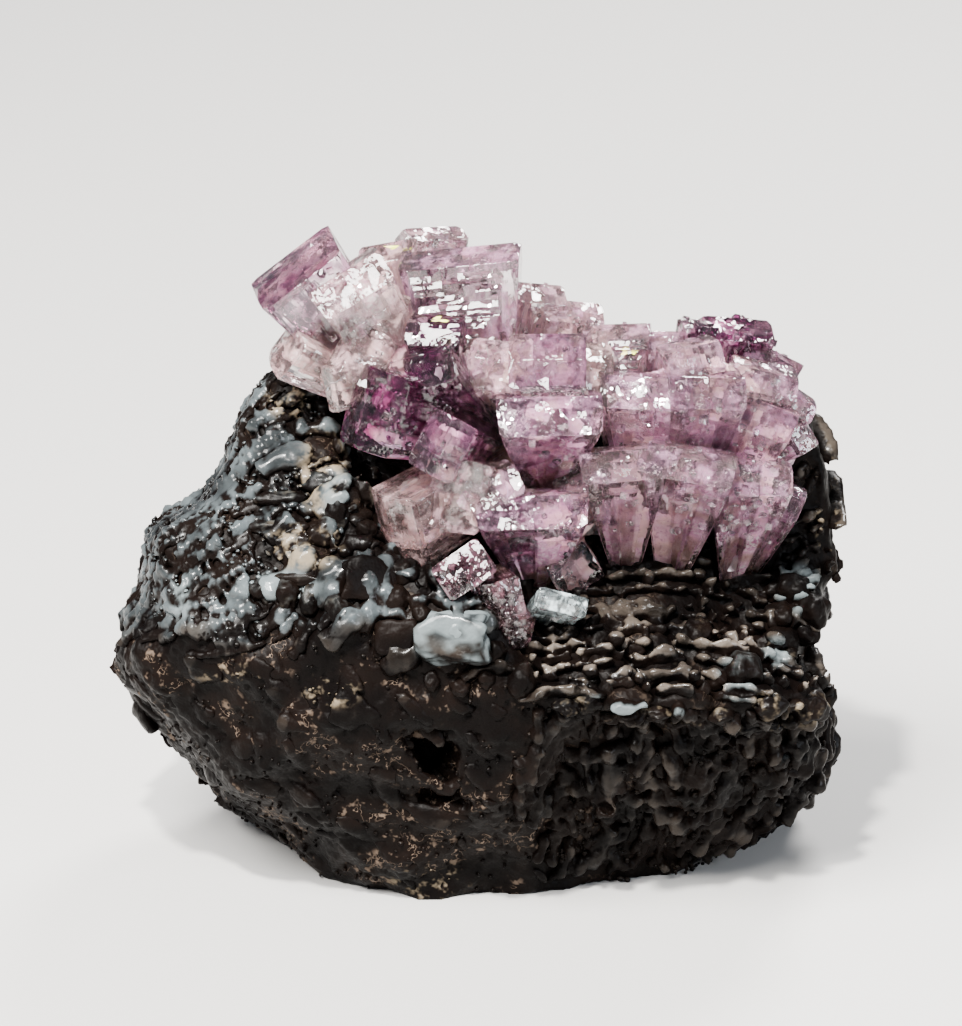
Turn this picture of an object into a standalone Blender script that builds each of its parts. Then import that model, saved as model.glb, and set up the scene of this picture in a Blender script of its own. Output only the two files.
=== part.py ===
"""Adamite cluster: violet crystals grown together in the hollow of a dark ironstone matrix."""
import math

import bmesh
import bpy
from mathutils import Matrix, Vector, noise

# Everything is set out in millimetres and scaled to metres at the end.
METRES = 0.001

# Driving dimensions
GAP = 0.3                       # clearance between pieces that touch
WELD = 0.0005                   # corners closer than this are one corner
SIGHT = math.radians(20)        # the specimen is laid out as seen from this far above level
SIN, COS = math.sin(SIGHT), math.cos(SIGHT)

# Matrix body: its outline as it is seen, as (across, up), clockwise from the upper left
OUTLINE_CENTRE = (0.0, 13.0)
OUTLINE = [
    (-12.5, 28.0), (-14.2, 24.4), (-16.4, 21.9), (-19.1, 19.9), (-20.3, 16.4), (-21.1, 12.6),
    (-20.0, 9.3), (-17.4, 5.8), (-14.4, 2.8), (-11.6, 0.2), (-8.1, -3.0), (-2.9, -5.5),
    (2.3, -5.5), (7.0, -4.6), (12.6, -0.8), (16.2, 1.3), (19.1, 3.1), (20.6, 5.7),
    (20.2, 8.9), (18.9, 11.6), (19.9, 15.5), (20.5, 21.3), (19.9, 24.8), (18.6, 28.0),
    (14.5, 27.0), (7.0, 25.6), (-1.7, 26.2), (-8.7, 28.6),
]
MIDDLE_DEPTH = 2.0              # where the outline lies, front to back
BACK_REACH = 12.0               # how far the back bulges behind the middle
# Depth of the front surface against height, left of the hollow and right of it
LEFT_FRONT = [(-6, -6.5), (0, -9.0), (5, -10.6), (10, -11.6), (14, -10.8), (18, -8.0),
              (22, -5.4), (26, -2.4), (29, 1.0)]
RIGHT_FRONT = [(-6, -6.0), (0, -7.6), (5, -8.2), (8.4, -8.8), (9.8, -9.9), (11.5, -9.0),
               (15.2, -5.6), (17.5, -3.4), (20, -1.4), (28, 1.0)]
HOLLOW_EDGE = [(-6, 4.0), (9, 3.0), (13.5, 2.4), (15.5, 0.6), (18, -3.6), (23, -7.4), (28, -8.8)]

# Lumps fused to the matrix: (across, up, radius, how far the middle is sunk)
KNOBS = [
    (18.2, 15.3, 2.5, 1.2), (16.8, 13.0, 1.3, 0.4), (20.0, 17.6, 1.3, 1.0), (18.9, 12.4, 1.0, 0.3),
    (14.9, 11.4, 1.25, 0.3), (17.2, 12.6, 0.9, 0.2), (12.6, 13.6, 1.2, 0.5), (11.0, 12.2, 1.0, 0.4),
    (9.0, 13.4, 1.2, 0.5), (7.0, 12.4, 1.0, 0.4), (2.3, 11.0, 1.0, 0.1), (-1.6, 13.4, 1.9, 1.0),
    (-3.2, 16.8, 1.6, 0.8), (-5.6, 17.6, 1.3, 0.6), (-7.9, 21.6, 1.3, 0.5), (-8.9, 24.2, 1.2, 0.6),
    (-10.2, 27.4, 1.4, 0.8), (-12.2, 25.2, 1.6, 0.8), (-11.2, 21.8, 1.6, 0.9), (-9.4, 17.0, 1.5, 0.7),
    (-14.8, 19.2, 1.8, 1.0), (-12.6, 15.6, 1.4, 0.8), (-17.2, 15.8, 1.6, 1.0), (-7.8, 13.8, 1.3, 0.7),
    (17.6, 6.4, 1.1, 0.6), (19.2, 8.4, 1.3, 0.8), (19.0, 4.6, 1.2, 0.8), (-3.0, -1.8, 1.6, 0.6),
    (4.8, -1.6, 1.3, 0.7), (-19.2, 12.6, 1.6, 1.0),
]
# Wavy ledges over the front face: (height, left end, right end, thickness, how far they stand out)
LEDGES = [(9.7, 2.9, 20.0, 1.15, 1.3), (11.5, 4.4, 19.4, 0.8, 0.7), (13.2, 6.0, 18.2, 0.7, 0.5)]
LEDGE_WAVE = 0.6
LEDGE_WAVELENGTH = 3.6
# Tapered columns that hang below the lowest ledge
COLUMN_COUNT = 9
COLUMN_FIRST, COLUMN_LAST = 3.6, 18.4
COLUMN_TOP, COLUMN_FOOT = 9.2, 3.6
COLUMN_THICKNESS = (0.95, 0.5)
COLUMN_OUT = 0.6
# Long folds that climb the left flank to the hollow: (lower end, upper end, thickness)
FOLDS = [
    ((-18.4, 17.6), (-13.4, 22.6), 1.1), ((-16.8, 14.2), (-11.0, 20.6), 1.0),
    ((-14.4, 13.0), (-8.8, 19.6), 1.0), ((-13.6, 22.0), (-10.4, 26.8), 0.9),
    ((-11.4, 12.0), (-6.4, 16.6), 1.0), ((-18.8, 10.6), (-15.8, 14.8), 1.0),
]
# Pits in the front face: (across, up, half width, half height, half depth)
PITS = [(-2.5, 6.2, 1.3, 1.7, 2.6), (-2.9, 3.9, 0.9, 0.9, 1.9), (6.9, 3.4, 0.8, 2.0, 1.3),
        (12.0, 4.6, 0.7, 1.8, 1.2)]
VOXEL = 0.5
LUMP_SIZE, LUMP_HEIGHT = 5.0, 0.55
GRAIN_SIZE, GRAIN_HEIGHT = 2.2, 0.34
MATRIX_TRIANGLES = 5900

# The crystals' shared root in the hollow: (across, up, depth) and its three half sizes
ROOTS = [((-4.2, 26.6, 1.8), (4.4, 4.5, 4.8)), ((2.6, 23.6, 1.6), (6.1, 5.0, 5.2)),
         ((12.4, 22.4, 1.8), (6.3, 5.0, 5.0))]

FULLNESS = 1.1                  # crystals stand this much wider than their listed widths
# Crystals: name, root, tip (each across, up, depth), width, thickness, share of them left
# at the root, roll about the axis, and the slopes of the front and back faces of the tip
MAIN_CRYSTALS = [
    ("far_left", (-5.0, 28.0, 1.4), (-10.9, 35.0, -0.6), 5.2, 3.8, 0.55, 6, 12, 8),
    ("far_left_low", (-4.8, 27.2, 0.8), (-11.5, 30.3, -1.6), 2.7, 2.8, 0.60, -10, 20, 12),
    ("left_pale", (-3.6, 27.0, 0.6), (-7.9, 34.4, -2.2), 4.4, 3.6, 0.50, 14, 30, 20),
    ("left_blade", (-2.6, 29.4, -0.8), (-9.0, 27.7, -3.0), 2.5, 1.6, 0.60, 8, 25, 20),
    ("left_knot", (-4.0, 27.5, 0.5), (-7.4, 30.0, -3.4), 3.2, 3.0, 0.60, 30, 35, 15),
    ("crest_left", (-3.6, 29.0, 3.0), (-5.5, 36.4, 3.6), 3.2, 2.6, 0.60, -15, 30, 25),
    ("crest_dark", (-3.0, 29.0, 4.0), (-2.9, 37.4, 5.4), 3.3, 3.0, 0.60, 25, 20, 30),
    ("crown", (0.4, 24.0, 1.6), (-1.2, 36.0, 1.2), 6.5, 4.4, 0.42, -4, 8, 38),
    ("crown_side", (1.6, 26.0, 2.6), (3.4, 34.0, 2.6), 2.8, 2.8, 0.60, 20, 25, 30),
    ("maroon_cap", (-1.6, 25.0, 0.4), (-2.7, 31.5, -3.4), 3.0, 2.6, 0.50, -12, 20, 25),
    ("deep_violet", (1.0, 25.6, 0.6), (-6.7, 26.6, -5.0), 4.4, 3.8, 0.80, 12, 30, 10),
    ("deep_violet_top", (0.6, 25.4, 0.6), (-3.6, 29.6, -4.4), 3.8, 3.2, 0.60, -20, 30, 20),
    ("small_violet", (0.6, 23.8, 1.0), (-2.4, 24.5, -6.6), 3.3, 2.7, 0.60, 25, 25, 15),
    ("low_left_clear", (1.6, 23.6, 0.4), (-5.2, 19.4, -6.0), 4.4, 3.4, 0.75, -10, 15, 20),
    ("low_left_edge", (1.0, 22.6, 0.4), (-1.6, 21.6, -6.8), 4.0, 3.2, 0.55, 20, 30, 20),
    ("low_wedge", (3.2, 15.6, -1.6), (2.9, 21.6, -6.2), 6.0, 4.0, 0.14, 0, 14, 40),
    ("low_wedge_left", (1.6, 18.0, -1.0), (0.4, 22.6, -5.8), 3.2, 3.0, 0.40, 18, 20, 35),
    ("heart", (3.7, 21.6, -0.4), (3.9, 27.2, -5.2), 5.7, 4.4, 0.20, 4, 16, 38),
    ("pink_panel", (4.2, 27.0, 2.4), (3.8, 29.4, -4.2), 4.1, 3.2, 0.65, -4, 12, 15),
    ("pink_panel_side", (5.4, 26.2, 1.8), (6.5, 29.3, -2.8), 2.2, 3.0, 0.65, 10, 20, 20),
    ("white_core", (1.8, 26.0, 1.4), (0.9, 29.4, -3.6), 3.2, 3.0, 0.60, -18, 28, 20),
    ("behind_crown", (4.0, 25.6, 2.6), (5.3, 33.0, 2.6), 3.4, 3.2, 0.55, 12, 25, 30),
    ("row_left", (8.6, 24.0, 2.2), (7.9, 31.6, 0.8), 3.6, 3.2, 0.55, -6, 14, 32),
    ("row_middle", (10.4, 24.0, 2.2), (11.0, 31.2, 1.2), 3.2, 3.0, 0.55, 8, 18, 30),
    ("row_round", (11.6, 23.6, 1.6), (12.2, 30.2, -2.2), 3.2, 2.9, 0.55, 22, 32, 28),
    ("peak", (13.4, 24.4, 2.6), (15.0, 32.0, 2.2), 3.8, 3.4, 0.55, 16, 22, 34),
    ("peak_right", (14.4, 23.8, 2.0), (17.3, 30.0, 1.0), 3.2, 3.2, 0.60, -12, 24, 28),
    ("bars", (14.2, 23.4, 1.4), (16.6, 28.8, -1.8), 3.6, 3.0, 0.60, 10, 28, 22),
    ("right_front_a", (9.4, 21.6, 0.6), (9.5, 28.4, -3.6), 4.8, 3.8, 0.38, -4, 18, 36),
    ("right_front_b", (11.8, 21.6, 0.6), (13.0, 28.4, -3.8), 4.2, 3.6, 0.42, 8, 20, 34),
    ("right_front_c", (13.8, 21.0, 0.6), (16.3, 27.0, -3.0), 4.2, 3.6, 0.42, -8, 22, 32),
    ("long_wedge_a", (8.5, 15.9, -0.8), (8.1, 24.2, -5.6), 4.6, 3.8, 0.14, 3, 16, 36),
    ("long_wedge_b", (11.0, 15.9, -0.6), (12.2, 24.2, -5.6), 4.8, 3.8, 0.20, -6, 18, 36),
    ("long_wedge_c", (14.6, 15.9, -0.4), (15.6, 23.4, -4.8), 4.4, 3.6, 0.22, 8, 20, 34),
    ("long_wedge_d", (15.8, 17.4, 0.0), (17.4, 22.0, -3.4), 2.9, 3.0, 0.40, -10, 24, 28),
    ("small_dark", (5.8, 18.6, 0.4), (5.4, 17.2, -5.0), 2.6, 2.4, 0.50, 30, 20, 20),
    ("between_wedges", (6.6, 20.0, 0.4), (6.0, 22.0, -4.6), 3.0, 2.8, 0.50, 15, 28, 22),
    ("end_high", (15.4, 24.6, 1.6), (18.8, 27.2, -0.8), 1.9, 1.8, 0.80, 12, 25, 20),
    ("end_low", (15.4, 23.4, 1.2), (19.0, 25.3, -1.2), 1.8, 1.7, 0.80, -15, 28, 18),
    ("nub_left", (11.6, 28.6, 1.6), (12.2, 31.9, 1.4), 1.1, 1.1, 0.70, 20, 25, 25),
    ("nub_right", (12.6, 28.4, 1.2), (13.3, 31.5, 0.8), 1.0, 1.0, 0.70, -10, 25, 25),
    ("back_a", (-4.0, 27.0, 3.0), (-6.6, 33.6, 7.0), 4.4, 3.8, 0.55, 20, 30, 25),
    ("back_b", (0.0, 26.0, 3.2), (-0.4, 34.6, 7.4), 4.8, 4.0, 0.50, -12, 35, 20),
    ("back_c", (4.4, 25.0, 3.2), (4.2, 31.6, 8.0), 4.4, 4.0, 0.50, 10, 35, 22),
    ("back_d", (9.4, 24.0, 3.2), (9.2, 30.4, 8.0), 4.6, 4.0, 0.50, -16, 32, 24),
    ("back_e", (13.6, 24.0, 3.2), (14.6, 30.0, 7.2), 4.2, 3.8, 0.50, 12, 30, 24),
]
# Small groups that stand clear of the main growth
RIM_CRYSTALS = [
    ("rim_a", (-0.6, 17.0, -5.2), (-1.0, 17.4, -9.4), 3.4, 2.2, 0.60, 10, 20, 20),
    ("rim_b", (0.2, 16.4, -5.0), (1.2, 15.4, -9.6), 2.4, 2.6, 0.80, -20, 25, 20),
    ("rim_c", (0.6, 15.8, -5.0), (2.0, 13.6, -9.6), 1.8, 2.2, 0.90, 15, 25, 20),
]
BLADE_CRYSTALS = [
    ("blade", (3.6, 14.4, -4.4), (4.7, 15.5, -9.0), 2.7, 1.1, 0.80, 6, 20, 10),
]
NODES = {
    "adamite_crystals": (MAIN_CRYSTALS, (0.44, 0.22, 0.33, 1.0)),
    "rim_crystals": (RIM_CRYSTALS, (0.40, 0.20, 0.24, 1.0)),
    "pale_blade": (BLADE_CRYSTALS, (0.50, 0.56, 0.58, 1.0)),
}


def clear_scene():
    for ob in list(bpy.data.objects):
        bpy.data.objects.remove(ob, do_unlink=True)


def new_collection(name):
    collection = bpy.data.collections.new(name)
    bpy.context.scene.collection.children.link(collection)
    return collection


def material(name, colour, roughness):
    mat = bpy.data.materials.new(name)
    mat.use_nodes = True
    shader = mat.node_tree.nodes["Principled BSDF"]
    shader.inputs["Base Color"].default_value = colour
    shader.inputs["Roughness"].default_value = roughness
    shader.inputs["Metallic"].default_value = 0.0
    return mat


def add_object(name, bm, collection):
    mesh = bpy.data.meshes.new(name)
    bm.to_mesh(mesh)
    bm.free()
    ob = bpy.data.objects.new(name, mesh)
    collection.objects.link(ob)
    return ob


def bake_modifiers(ob):
    """Replace an object's mesh with its evaluated one."""
    bpy.context.view_layer.update()
    evaluated = ob.evaluated_get(bpy.context.evaluated_depsgraph_get())
    mesh = bpy.data.meshes.new_from_object(evaluated)
    ob.modifiers.clear()
    ob.data = mesh


def seen(across, up, depth):
    """Point given as it is seen from the front: across, up the sight, and true depth."""
    return Vector((across, depth, (up - depth * SIN) / COS))


def along(stations, value):
    """Value read between (place, value) stations, straight from one to the next."""
    if value <= stations[0][0]:
        return stations[0][1]
    for (a, start), (b, end) in zip(stations, stations[1:]):
        if value <= b:
            return start + (end - start) * (value - a) / (b - a)
    return stations[-1][1]


def smooth_step(value):
    t = min(max(value, 0.0), 1.0)
    return t * t * (3 - 2 * t)


def outline_radius(angle):
    """Distance of the outline from its centre, rounded between its points."""
    count = len(POLAR)
    turn = (angle - POLAR[0][0]) % (2 * math.pi)
    for i in range(count):
        a = (POLAR[i][0] - POLAR[0][0]) % (2 * math.pi)
        b = (POLAR[(i + 1) % count][0] - POLAR[0][0]) % (2 * math.pi) or 2 * math.pi
        if a <= turn <= b:
            t = (turn - a) / (b - a)
            r0, r1, r2, r3 = (POLAR[(i + k) % count][1] for k in (-1, 0, 1, 2))
            return r1 + 0.5 * t * (r2 - r0 + t * (2 * r0 - 5 * r1 + 4 * r2 - r3
                                                  + t * (3 * (r1 - r2) + r3 - r0)))
    return POLAR[0][1]


POLAR = sorted((math.atan2(up - OUTLINE_CENTRE[1], across - OUTLINE_CENTRE[0]) % (2 * math.pi),
                math.hypot(up - OUTLINE_CENTRE[1], across - OUTLINE_CENTRE[0]))
               for across, up in OUTLINE)


def front_depth(across, up, fullness):
    """Depth of the matrix's front, which rounds off to the middle at the outline."""
    edge = along(HOLLOW_EDGE, up)
    right = smooth_step((across - edge) / 1.6 + 0.5)
    front = along(LEFT_FRONT, up) * (1 - right) + along(RIGHT_FRONT, up) * right
    return MIDDLE_DEPTH + (front - MIDDLE_DEPTH) * fullness


def surface_depth(across, up):
    dx, dz = across - OUTLINE_CENTRE[0], up - OUTLINE_CENTRE[1]
    ring = min(math.hypot(dx, dz) / outline_radius(math.atan2(dz, dx)), 0.999)
    return front_depth(across, up, math.sqrt(1 - ring * ring) ** 0.55)


def rock_body():
    bm = bmesh.new()
    bmesh.ops.create_icosphere(bm, subdivisions=6, radius=1.0)
    for vert in bm.verts:
        x, y, z = vert.co
        angle, ring = math.atan2(z, x), math.hypot(x, z)
        radius = outline_radius(angle) * ring
        across = OUTLINE_CENTRE[0] + radius * math.cos(angle)
        up = OUTLINE_CENTRE[1] + radius * math.sin(angle)
        if y < 0:
            depth = front_depth(across, up, abs(y) ** 0.55)
        else:
            depth = MIDDLE_DEPTH + BACK_REACH * abs(y) ** 0.7
        vert.co = seen(across, up, depth)
    return bm


def ball(bm, centre, sizes, subdivisions=3):
    made = bmesh.ops.create_icosphere(bm, subdivisions=subdivisions, radius=1.0)
    place = Matrix.Translation(centre) @ Matrix.Diagonal((*sizes, 1.0))
    bmesh.ops.transform(bm, matrix=place, verts=made["verts"])


def tube(collection, points, radii):
    """A round bar through the points, as a mesh."""
    curve = bpy.data.curves.new("bar", "CURVE")
    curve.dimensions = "3D"
    curve.bevel_depth = 1.0
    curve.bevel_resolution = 3
    curve.use_fill_caps = True
    spline = curve.splines.new("POLY")
    spline.points.add(len(points) - 1)
    for target, point, radius in zip(spline.points, points, radii):
        target.co = (*point, 1.0)
        target.radius = radius
    ob = bpy.data.objects.new("bar", curve)
    collection.objects.link(ob)
    bpy.context.view_layer.update()
    mesh = bpy.data.meshes.new_from_object(ob.evaluated_get(bpy.context.evaluated_depsgraph_get()))
    bpy.data.objects.remove(ob)
    return mesh


def add_ledges(bm, collection):
    for number, (up, left, right, thickness, out) in enumerate(LEDGES):
        points = []
        steps = int((right - left) / 0.6)
        for i in range(steps + 1):
            across = left + (right - left) * i / steps
            wave = math.sin(across * 2 * math.pi / LEDGE_WAVELENGTH + number * 1.7)
            height = up + 0.6 * LEDGE_WAVE * wave
            depth = surface_depth(across, height) - out - LEDGE_WAVE * wave
            points.append(seen(across, height, depth))
        bm.from_mesh(tube(collection, points, [thickness] * len(points)))


def add_columns(bm, collection):
    for i in range(COLUMN_COUNT):
        across = COLUMN_FIRST + (COLUMN_LAST - COLUMN_FIRST) * i / (COLUMN_COUNT - 1)
        foot = COLUMN_FOOT + 1.4 * math.sin(i * 2.3)
        points = []
        for k in range(5):
            up = COLUMN_TOP + (foot - COLUMN_TOP) * k / 4
            lean = 0.25 * math.sin(i * 1.9) * k
            points.append(seen(across + lean, up, surface_depth(across + lean, up) - COLUMN_OUT))
        radii = [COLUMN_THICKNESS[0] + (COLUMN_THICKNESS[1] - COLUMN_THICKNESS[0]) * k / 4
                 for k in range(5)]
        bm.from_mesh(tube(collection, points, radii))


def add_folds(bm, collection):
    for number, (low, high, thickness) in enumerate(FOLDS):
        points = []
        for k in range(8):
            t = k / 7
            bend = 0.5 * math.sin(5 * t + number)
            across = low[0] + (high[0] - low[0]) * t - bend * 0.7
            up = low[1] + (high[1] - low[1]) * t + bend * 0.7
            points.append(seen(across, up, surface_depth(across, up) + 0.2))
        bm.from_mesh(tube(collection, points, [thickness * (0.75 + 0.25 * math.sin(3 * k))
                                               for k in range(8)]))


def roughen(bm):
    """Broad lumps and smaller ones over the whole matrix, along its normals."""
    bm.normal_update()
    moves = []
    for vert in bm.verts:
        lump = noise.noise(vert.co / LUMP_SIZE) * LUMP_HEIGHT
        grain = abs(noise.noise(vert.co / GRAIN_SIZE + Vector((7.3, 2.1, 4.9)))) * 2 - 0.5
        moves.append(vert.normal * (lump * 2 + grain * GRAIN_HEIGHT))
    for vert, move in zip(bm.verts, moves):
        vert.co += move


def matrix_stone(parts, cutters):
    """The stone before the crystals are let into it."""
    bm = rock_body()
    for across, up, radius, sunk in KNOBS:
        centre = seen(across, up, surface_depth(across, up) + sunk)
        ball(bm, centre, (radius, radius, radius * 0.95))
    add_ledges(bm, cutters)
    add_columns(bm, cutters)
    add_folds(bm, cutters)
    stone = add_object("matrix", bm, parts)
    remesh = stone.modifiers.new("fuse", "REMESH")
    remesh.mode = "VOXEL"
    remesh.voxel_size = VOXEL
    bake_modifiers(stone)

    bm = bmesh.new()
    bm.from_mesh(stone.data)
    roughen(bm)
    bm.to_mesh(stone.data)
    bm.free()

    remesh = stone.modifiers.new("mend", "REMESH")
    remesh.mode = "VOXEL"
    remesh.voxel_size = VOXEL
    bake_modifiers(stone)
    thin = stone.modifiers.new("thin", "DECIMATE")
    thin.ratio = MATRIX_TRIANGLES / (2 * len(stone.data.polygons))
    thin.use_collapse_triangulate = True
    bake_modifiers(stone)
    return stone


def crystal_planes(width, thickness, length, share, front, back):
    """Faces of one crystal as (point, outward normal); it stands on z = 0 with its front at -y."""
    half_w, half_t = width / 2, thickness / 2
    flare_w = half_w * (1 - share) / length
    flare_t = half_t * (1 - share) / length
    top = Vector((0, 0, length))
    planes = [(Vector((0, 0, 0)), Vector((0, 0, -1)))]
    for side in (-1, 1):
        planes.append((Vector((side * half_w, 0, length)), Vector((side, 0, -flare_w))))
        planes.append((Vector((0, side * half_t, length)), Vector((0, side, -flare_t))))
        for way in (-1, 1):
            edge = Vector((side * half_w * 0.80, way * half_t * 0.80, length))
            planes.append((edge, Vector((side * thickness, way * width, -flare_w * thickness))))
    for slope, way in ((front, -1), (back, 1)):
        tilt = math.radians(slope)
        planes.append((top, Vector((0, way * math.sin(tilt), math.cos(tilt)))))
    for side in (-1, 1):
        corner = top + Vector((side * half_w * 0.72, 0, 0))
        planes.append((corner, Vector((side * 0.62, 0, 0.78))))
    return [(point, normal.normalized()) for point, normal in planes]


def crystal(bm_all, spec, grow=0.0):
    """One crystal, cut from a block by its face planes, each moved out by grow."""
    _, root, tip, width, thickness, share, roll, front, back = spec
    width, thickness = width * FULLNESS, thickness * FULLNESS
    start, end = seen(*root), seen(*tip)
    axis = end - start
    length = axis.length
    axis.normalize()
    # The width lies across the sight, and the thickness along it.
    sideways = Vector((0, 1, 0)).cross(axis)
    if sideways.length < 0.2:
        sideways = Vector((1, 0, 0))
    sideways.normalize()
    behind = axis.cross(sideways).normalized()
    if behind.y < 0:
        sideways, behind = -sideways, -behind
    turn = Matrix((sideways, behind, axis)).transposed().to_4x4()
    place = Matrix.Translation(start) @ turn @ Matrix.Rotation(math.radians(roll), 4, "Z")

    bm = bmesh.new()
    bmesh.ops.create_cube(bm, size=60.0)
    for point, normal in crystal_planes(width, thickness, length, share, front, back):
        everything = bm.verts[:] + bm.edges[:] + bm.faces[:]
        bmesh.ops.bisect_plane(bm, geom=everything, dist=1e-6, plane_co=point + normal * grow,
                               plane_no=normal, clear_outer=True)
        rim = [edge for edge in bm.edges if edge.is_boundary]
        if rim:
            bmesh.ops.contextual_create(bm, geom=rim)
    bmesh.ops.recalc_face_normals(bm, faces=bm.faces)
    bmesh.ops.transform(bm, matrix=place, verts=bm.verts)
    mesh = bpy.data.meshes.new("crystal")
    bm.to_mesh(mesh)
    bm.free()
    bm_all.from_mesh(mesh)


def weld(ob):
    """Merge corners that lie closer together than a hair's breadth."""
    bm = bmesh.new()
    bm.from_mesh(ob.data)
    bmesh.ops.remove_doubles(bm, verts=bm.verts, dist=WELD)
    bmesh.ops.dissolve_degenerate(bm, dist=WELD, edges=bm.edges)
    bm.to_mesh(ob.data)
    bm.free()


def unite(name, meshes, collection):
    """Join closed meshes into one solid, one exact union at a time."""
    whole = None
    for number, bm in enumerate(meshes):
        ob = add_object(f"{name}_{number}" if whole else name, bm, collection)
        if whole is None:
            whole = ob
            continue
        join = whole.modifiers.new("join", "BOOLEAN")
        join.operation = "UNION"
        join.solver = "EXACT"
        join.object = ob
        bake_modifiers(whole)
        weld(whole)
        bpy.data.objects.remove(ob)
    keep_largest(whole)
    return whole


def growth(name, specs, roots, collection, grow=0.0):
    meshes = []
    for centre, sizes in roots:
        bm = bmesh.new()
        ball(bm, seen(*centre), [size + grow for size in sizes], subdivisions=1)
        meshes.append(bm)
    for spec in specs:
        bm = bmesh.new()
        crystal(bm, spec, grow)
        meshes.append(bm)
    return unite(name, meshes, collection)


def cut(ob, cutter):
    away = ob.modifiers.new("cut", "BOOLEAN")
    away.operation = "DIFFERENCE"
    away.solver = "EXACT"
    away.object = cutter
    bake_modifiers(ob)


def as_cutter(ob):
    ob.hide_render = True
    ob.display_type = "WIRE"


def keep_largest(ob):
    """Drop crumbs that a cut leaves loose."""
    bm = bmesh.new()
    bm.from_mesh(ob.data)
    left = set(bm.verts)
    shells = []
    while left:
        shell, edge = set(), [left.pop()]
        while edge:
            vert = edge.pop()
            shell.add(vert)
            for link in vert.link_edges:
                other = link.other_vert(vert)
                if other in left:
                    left.remove(other)
                    edge.append(other)
        shells.append(shell)
    shells.sort(key=len)
    for shell in shells[:-1]:
        print(ob.name, "drops a loose shell of", len(shell), "corners")
        bmesh.ops.delete(bm, geom=list(shell), context="VERTS")
    bm.to_mesh(ob.data)
    bm.free()


def flatten_base(ob):
    """Saw the stone off level, so that it stands."""
    bm = bmesh.new()
    bm.from_mesh(ob.data)
    everything = bm.verts[:] + bm.edges[:] + bm.faces[:]
    bmesh.ops.bisect_plane(bm, geom=everything, dist=1e-5, plane_co=(0, 0, 0),
                           plane_no=(0, 0, -1), clear_outer=True)
    rim = [edge for edge in bm.edges if edge.is_boundary]
    bmesh.ops.holes_fill(bm, edges=rim, sides=0)
    bmesh.ops.dissolve_degenerate(bm, dist=1e-4, edges=bm.edges)
    bmesh.ops.triangulate(bm, faces=bm.faces)
    bm.to_mesh(ob.data)
    bm.free()


def settle(objects):
    """Put the origin under the middle of the whole, and scale to metres."""
    corners = [ob.matrix_world @ vert.co for ob in objects for vert in ob.data.vertices]
    middle = Vector((
        (min(c.x for c in corners) + max(c.x for c in corners)) / 2,
        (min(c.y for c in corners) + max(c.y for c in corners)) / 2,
        min(c.z for c in corners),
    ))
    place = Matrix.Scale(METRES, 4) @ Matrix.Translation(-middle)
    for ob in objects:
        ob.data.transform(place)
    return middle


def build():
    clear_scene()
    parts = new_collection("adamite_cluster")
    cutters = new_collection("cutters")

    stone = matrix_stone(parts, cutters)
    for across, up, half_w, half_h, half_d in PITS:
        bm = bmesh.new()
        centre = seen(across, up, surface_depth(across, up))
        ball(bm, centre, (half_w, half_d, half_h), subdivisions=2)
        pit = add_object("pit", bm, cutters)
        cut(stone, pit)
        bpy.data.objects.remove(pit)

    objects = []
    for name, (specs, colour) in NODES.items():
        roots = ROOTS if specs is MAIN_CRYSTALS else []
        ob = growth(name, specs, roots, parts)
        ob.data.materials.clear()
        ob.data.materials.append(material(name, colour, 0.12))
        objects.append(ob)
        socket = growth(f"{name}_socket", specs, roots, cutters, grow=GAP)
        as_cutter(socket)
        cut(stone, socket)
        bpy.data.objects.remove(socket)
    keep_largest(stone)
    flatten_base(stone)
    stone.data.materials.clear()
    stone.data.materials.append(material("matrix", (0.022, 0.018, 0.016, 1.0), 0.5))
    objects.append(stone)
    middle = settle(objects)
    for ob in objects:
        print(ob.name, len(ob.data.polygons), "faces")
    print("laid out about", [round(value, 3) for value in middle])
    return middle


MIDDLE = build()
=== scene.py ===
import math
import random

import bmesh
import bpy
import numpy as np
from mathutils import Matrix, Vector
from mathutils.bvhtree import BVHTree


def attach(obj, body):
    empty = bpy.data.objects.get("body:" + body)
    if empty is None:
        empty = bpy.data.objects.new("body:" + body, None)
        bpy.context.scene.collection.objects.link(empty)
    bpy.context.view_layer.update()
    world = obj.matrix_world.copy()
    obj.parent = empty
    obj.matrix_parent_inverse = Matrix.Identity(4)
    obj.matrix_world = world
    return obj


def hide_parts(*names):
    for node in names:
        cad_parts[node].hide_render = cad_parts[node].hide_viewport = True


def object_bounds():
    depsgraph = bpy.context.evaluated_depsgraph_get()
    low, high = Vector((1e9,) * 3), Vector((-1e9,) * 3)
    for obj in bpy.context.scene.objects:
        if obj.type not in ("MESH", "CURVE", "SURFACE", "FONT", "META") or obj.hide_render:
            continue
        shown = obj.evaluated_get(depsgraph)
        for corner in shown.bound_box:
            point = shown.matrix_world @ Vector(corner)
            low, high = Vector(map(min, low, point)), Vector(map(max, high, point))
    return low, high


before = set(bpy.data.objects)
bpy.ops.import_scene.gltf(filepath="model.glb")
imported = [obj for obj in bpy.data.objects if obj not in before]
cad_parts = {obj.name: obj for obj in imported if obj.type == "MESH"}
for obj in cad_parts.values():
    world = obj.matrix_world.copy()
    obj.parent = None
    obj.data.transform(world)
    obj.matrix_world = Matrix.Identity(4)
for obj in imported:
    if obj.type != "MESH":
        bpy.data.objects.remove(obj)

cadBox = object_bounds()
mm = 0.001

# The specimen is laid out as it is seen: across, up the line of sight, and depth, in millimetres
sight = {"elevation": 20.0, "middle": (-0.333, 1.012, 0.0)}
sightSin = math.sin(math.radians(sight["elevation"]))
sightCos = math.cos(math.radians(sight["elevation"]))
middle = Vector(sight["middle"])
middlePoint = np.array(sight["middle"])


def seen(across, up, depth):
    return (Vector((across, depth, (up - depth * sightSin) / sightCos)) - middle) * mm


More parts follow.
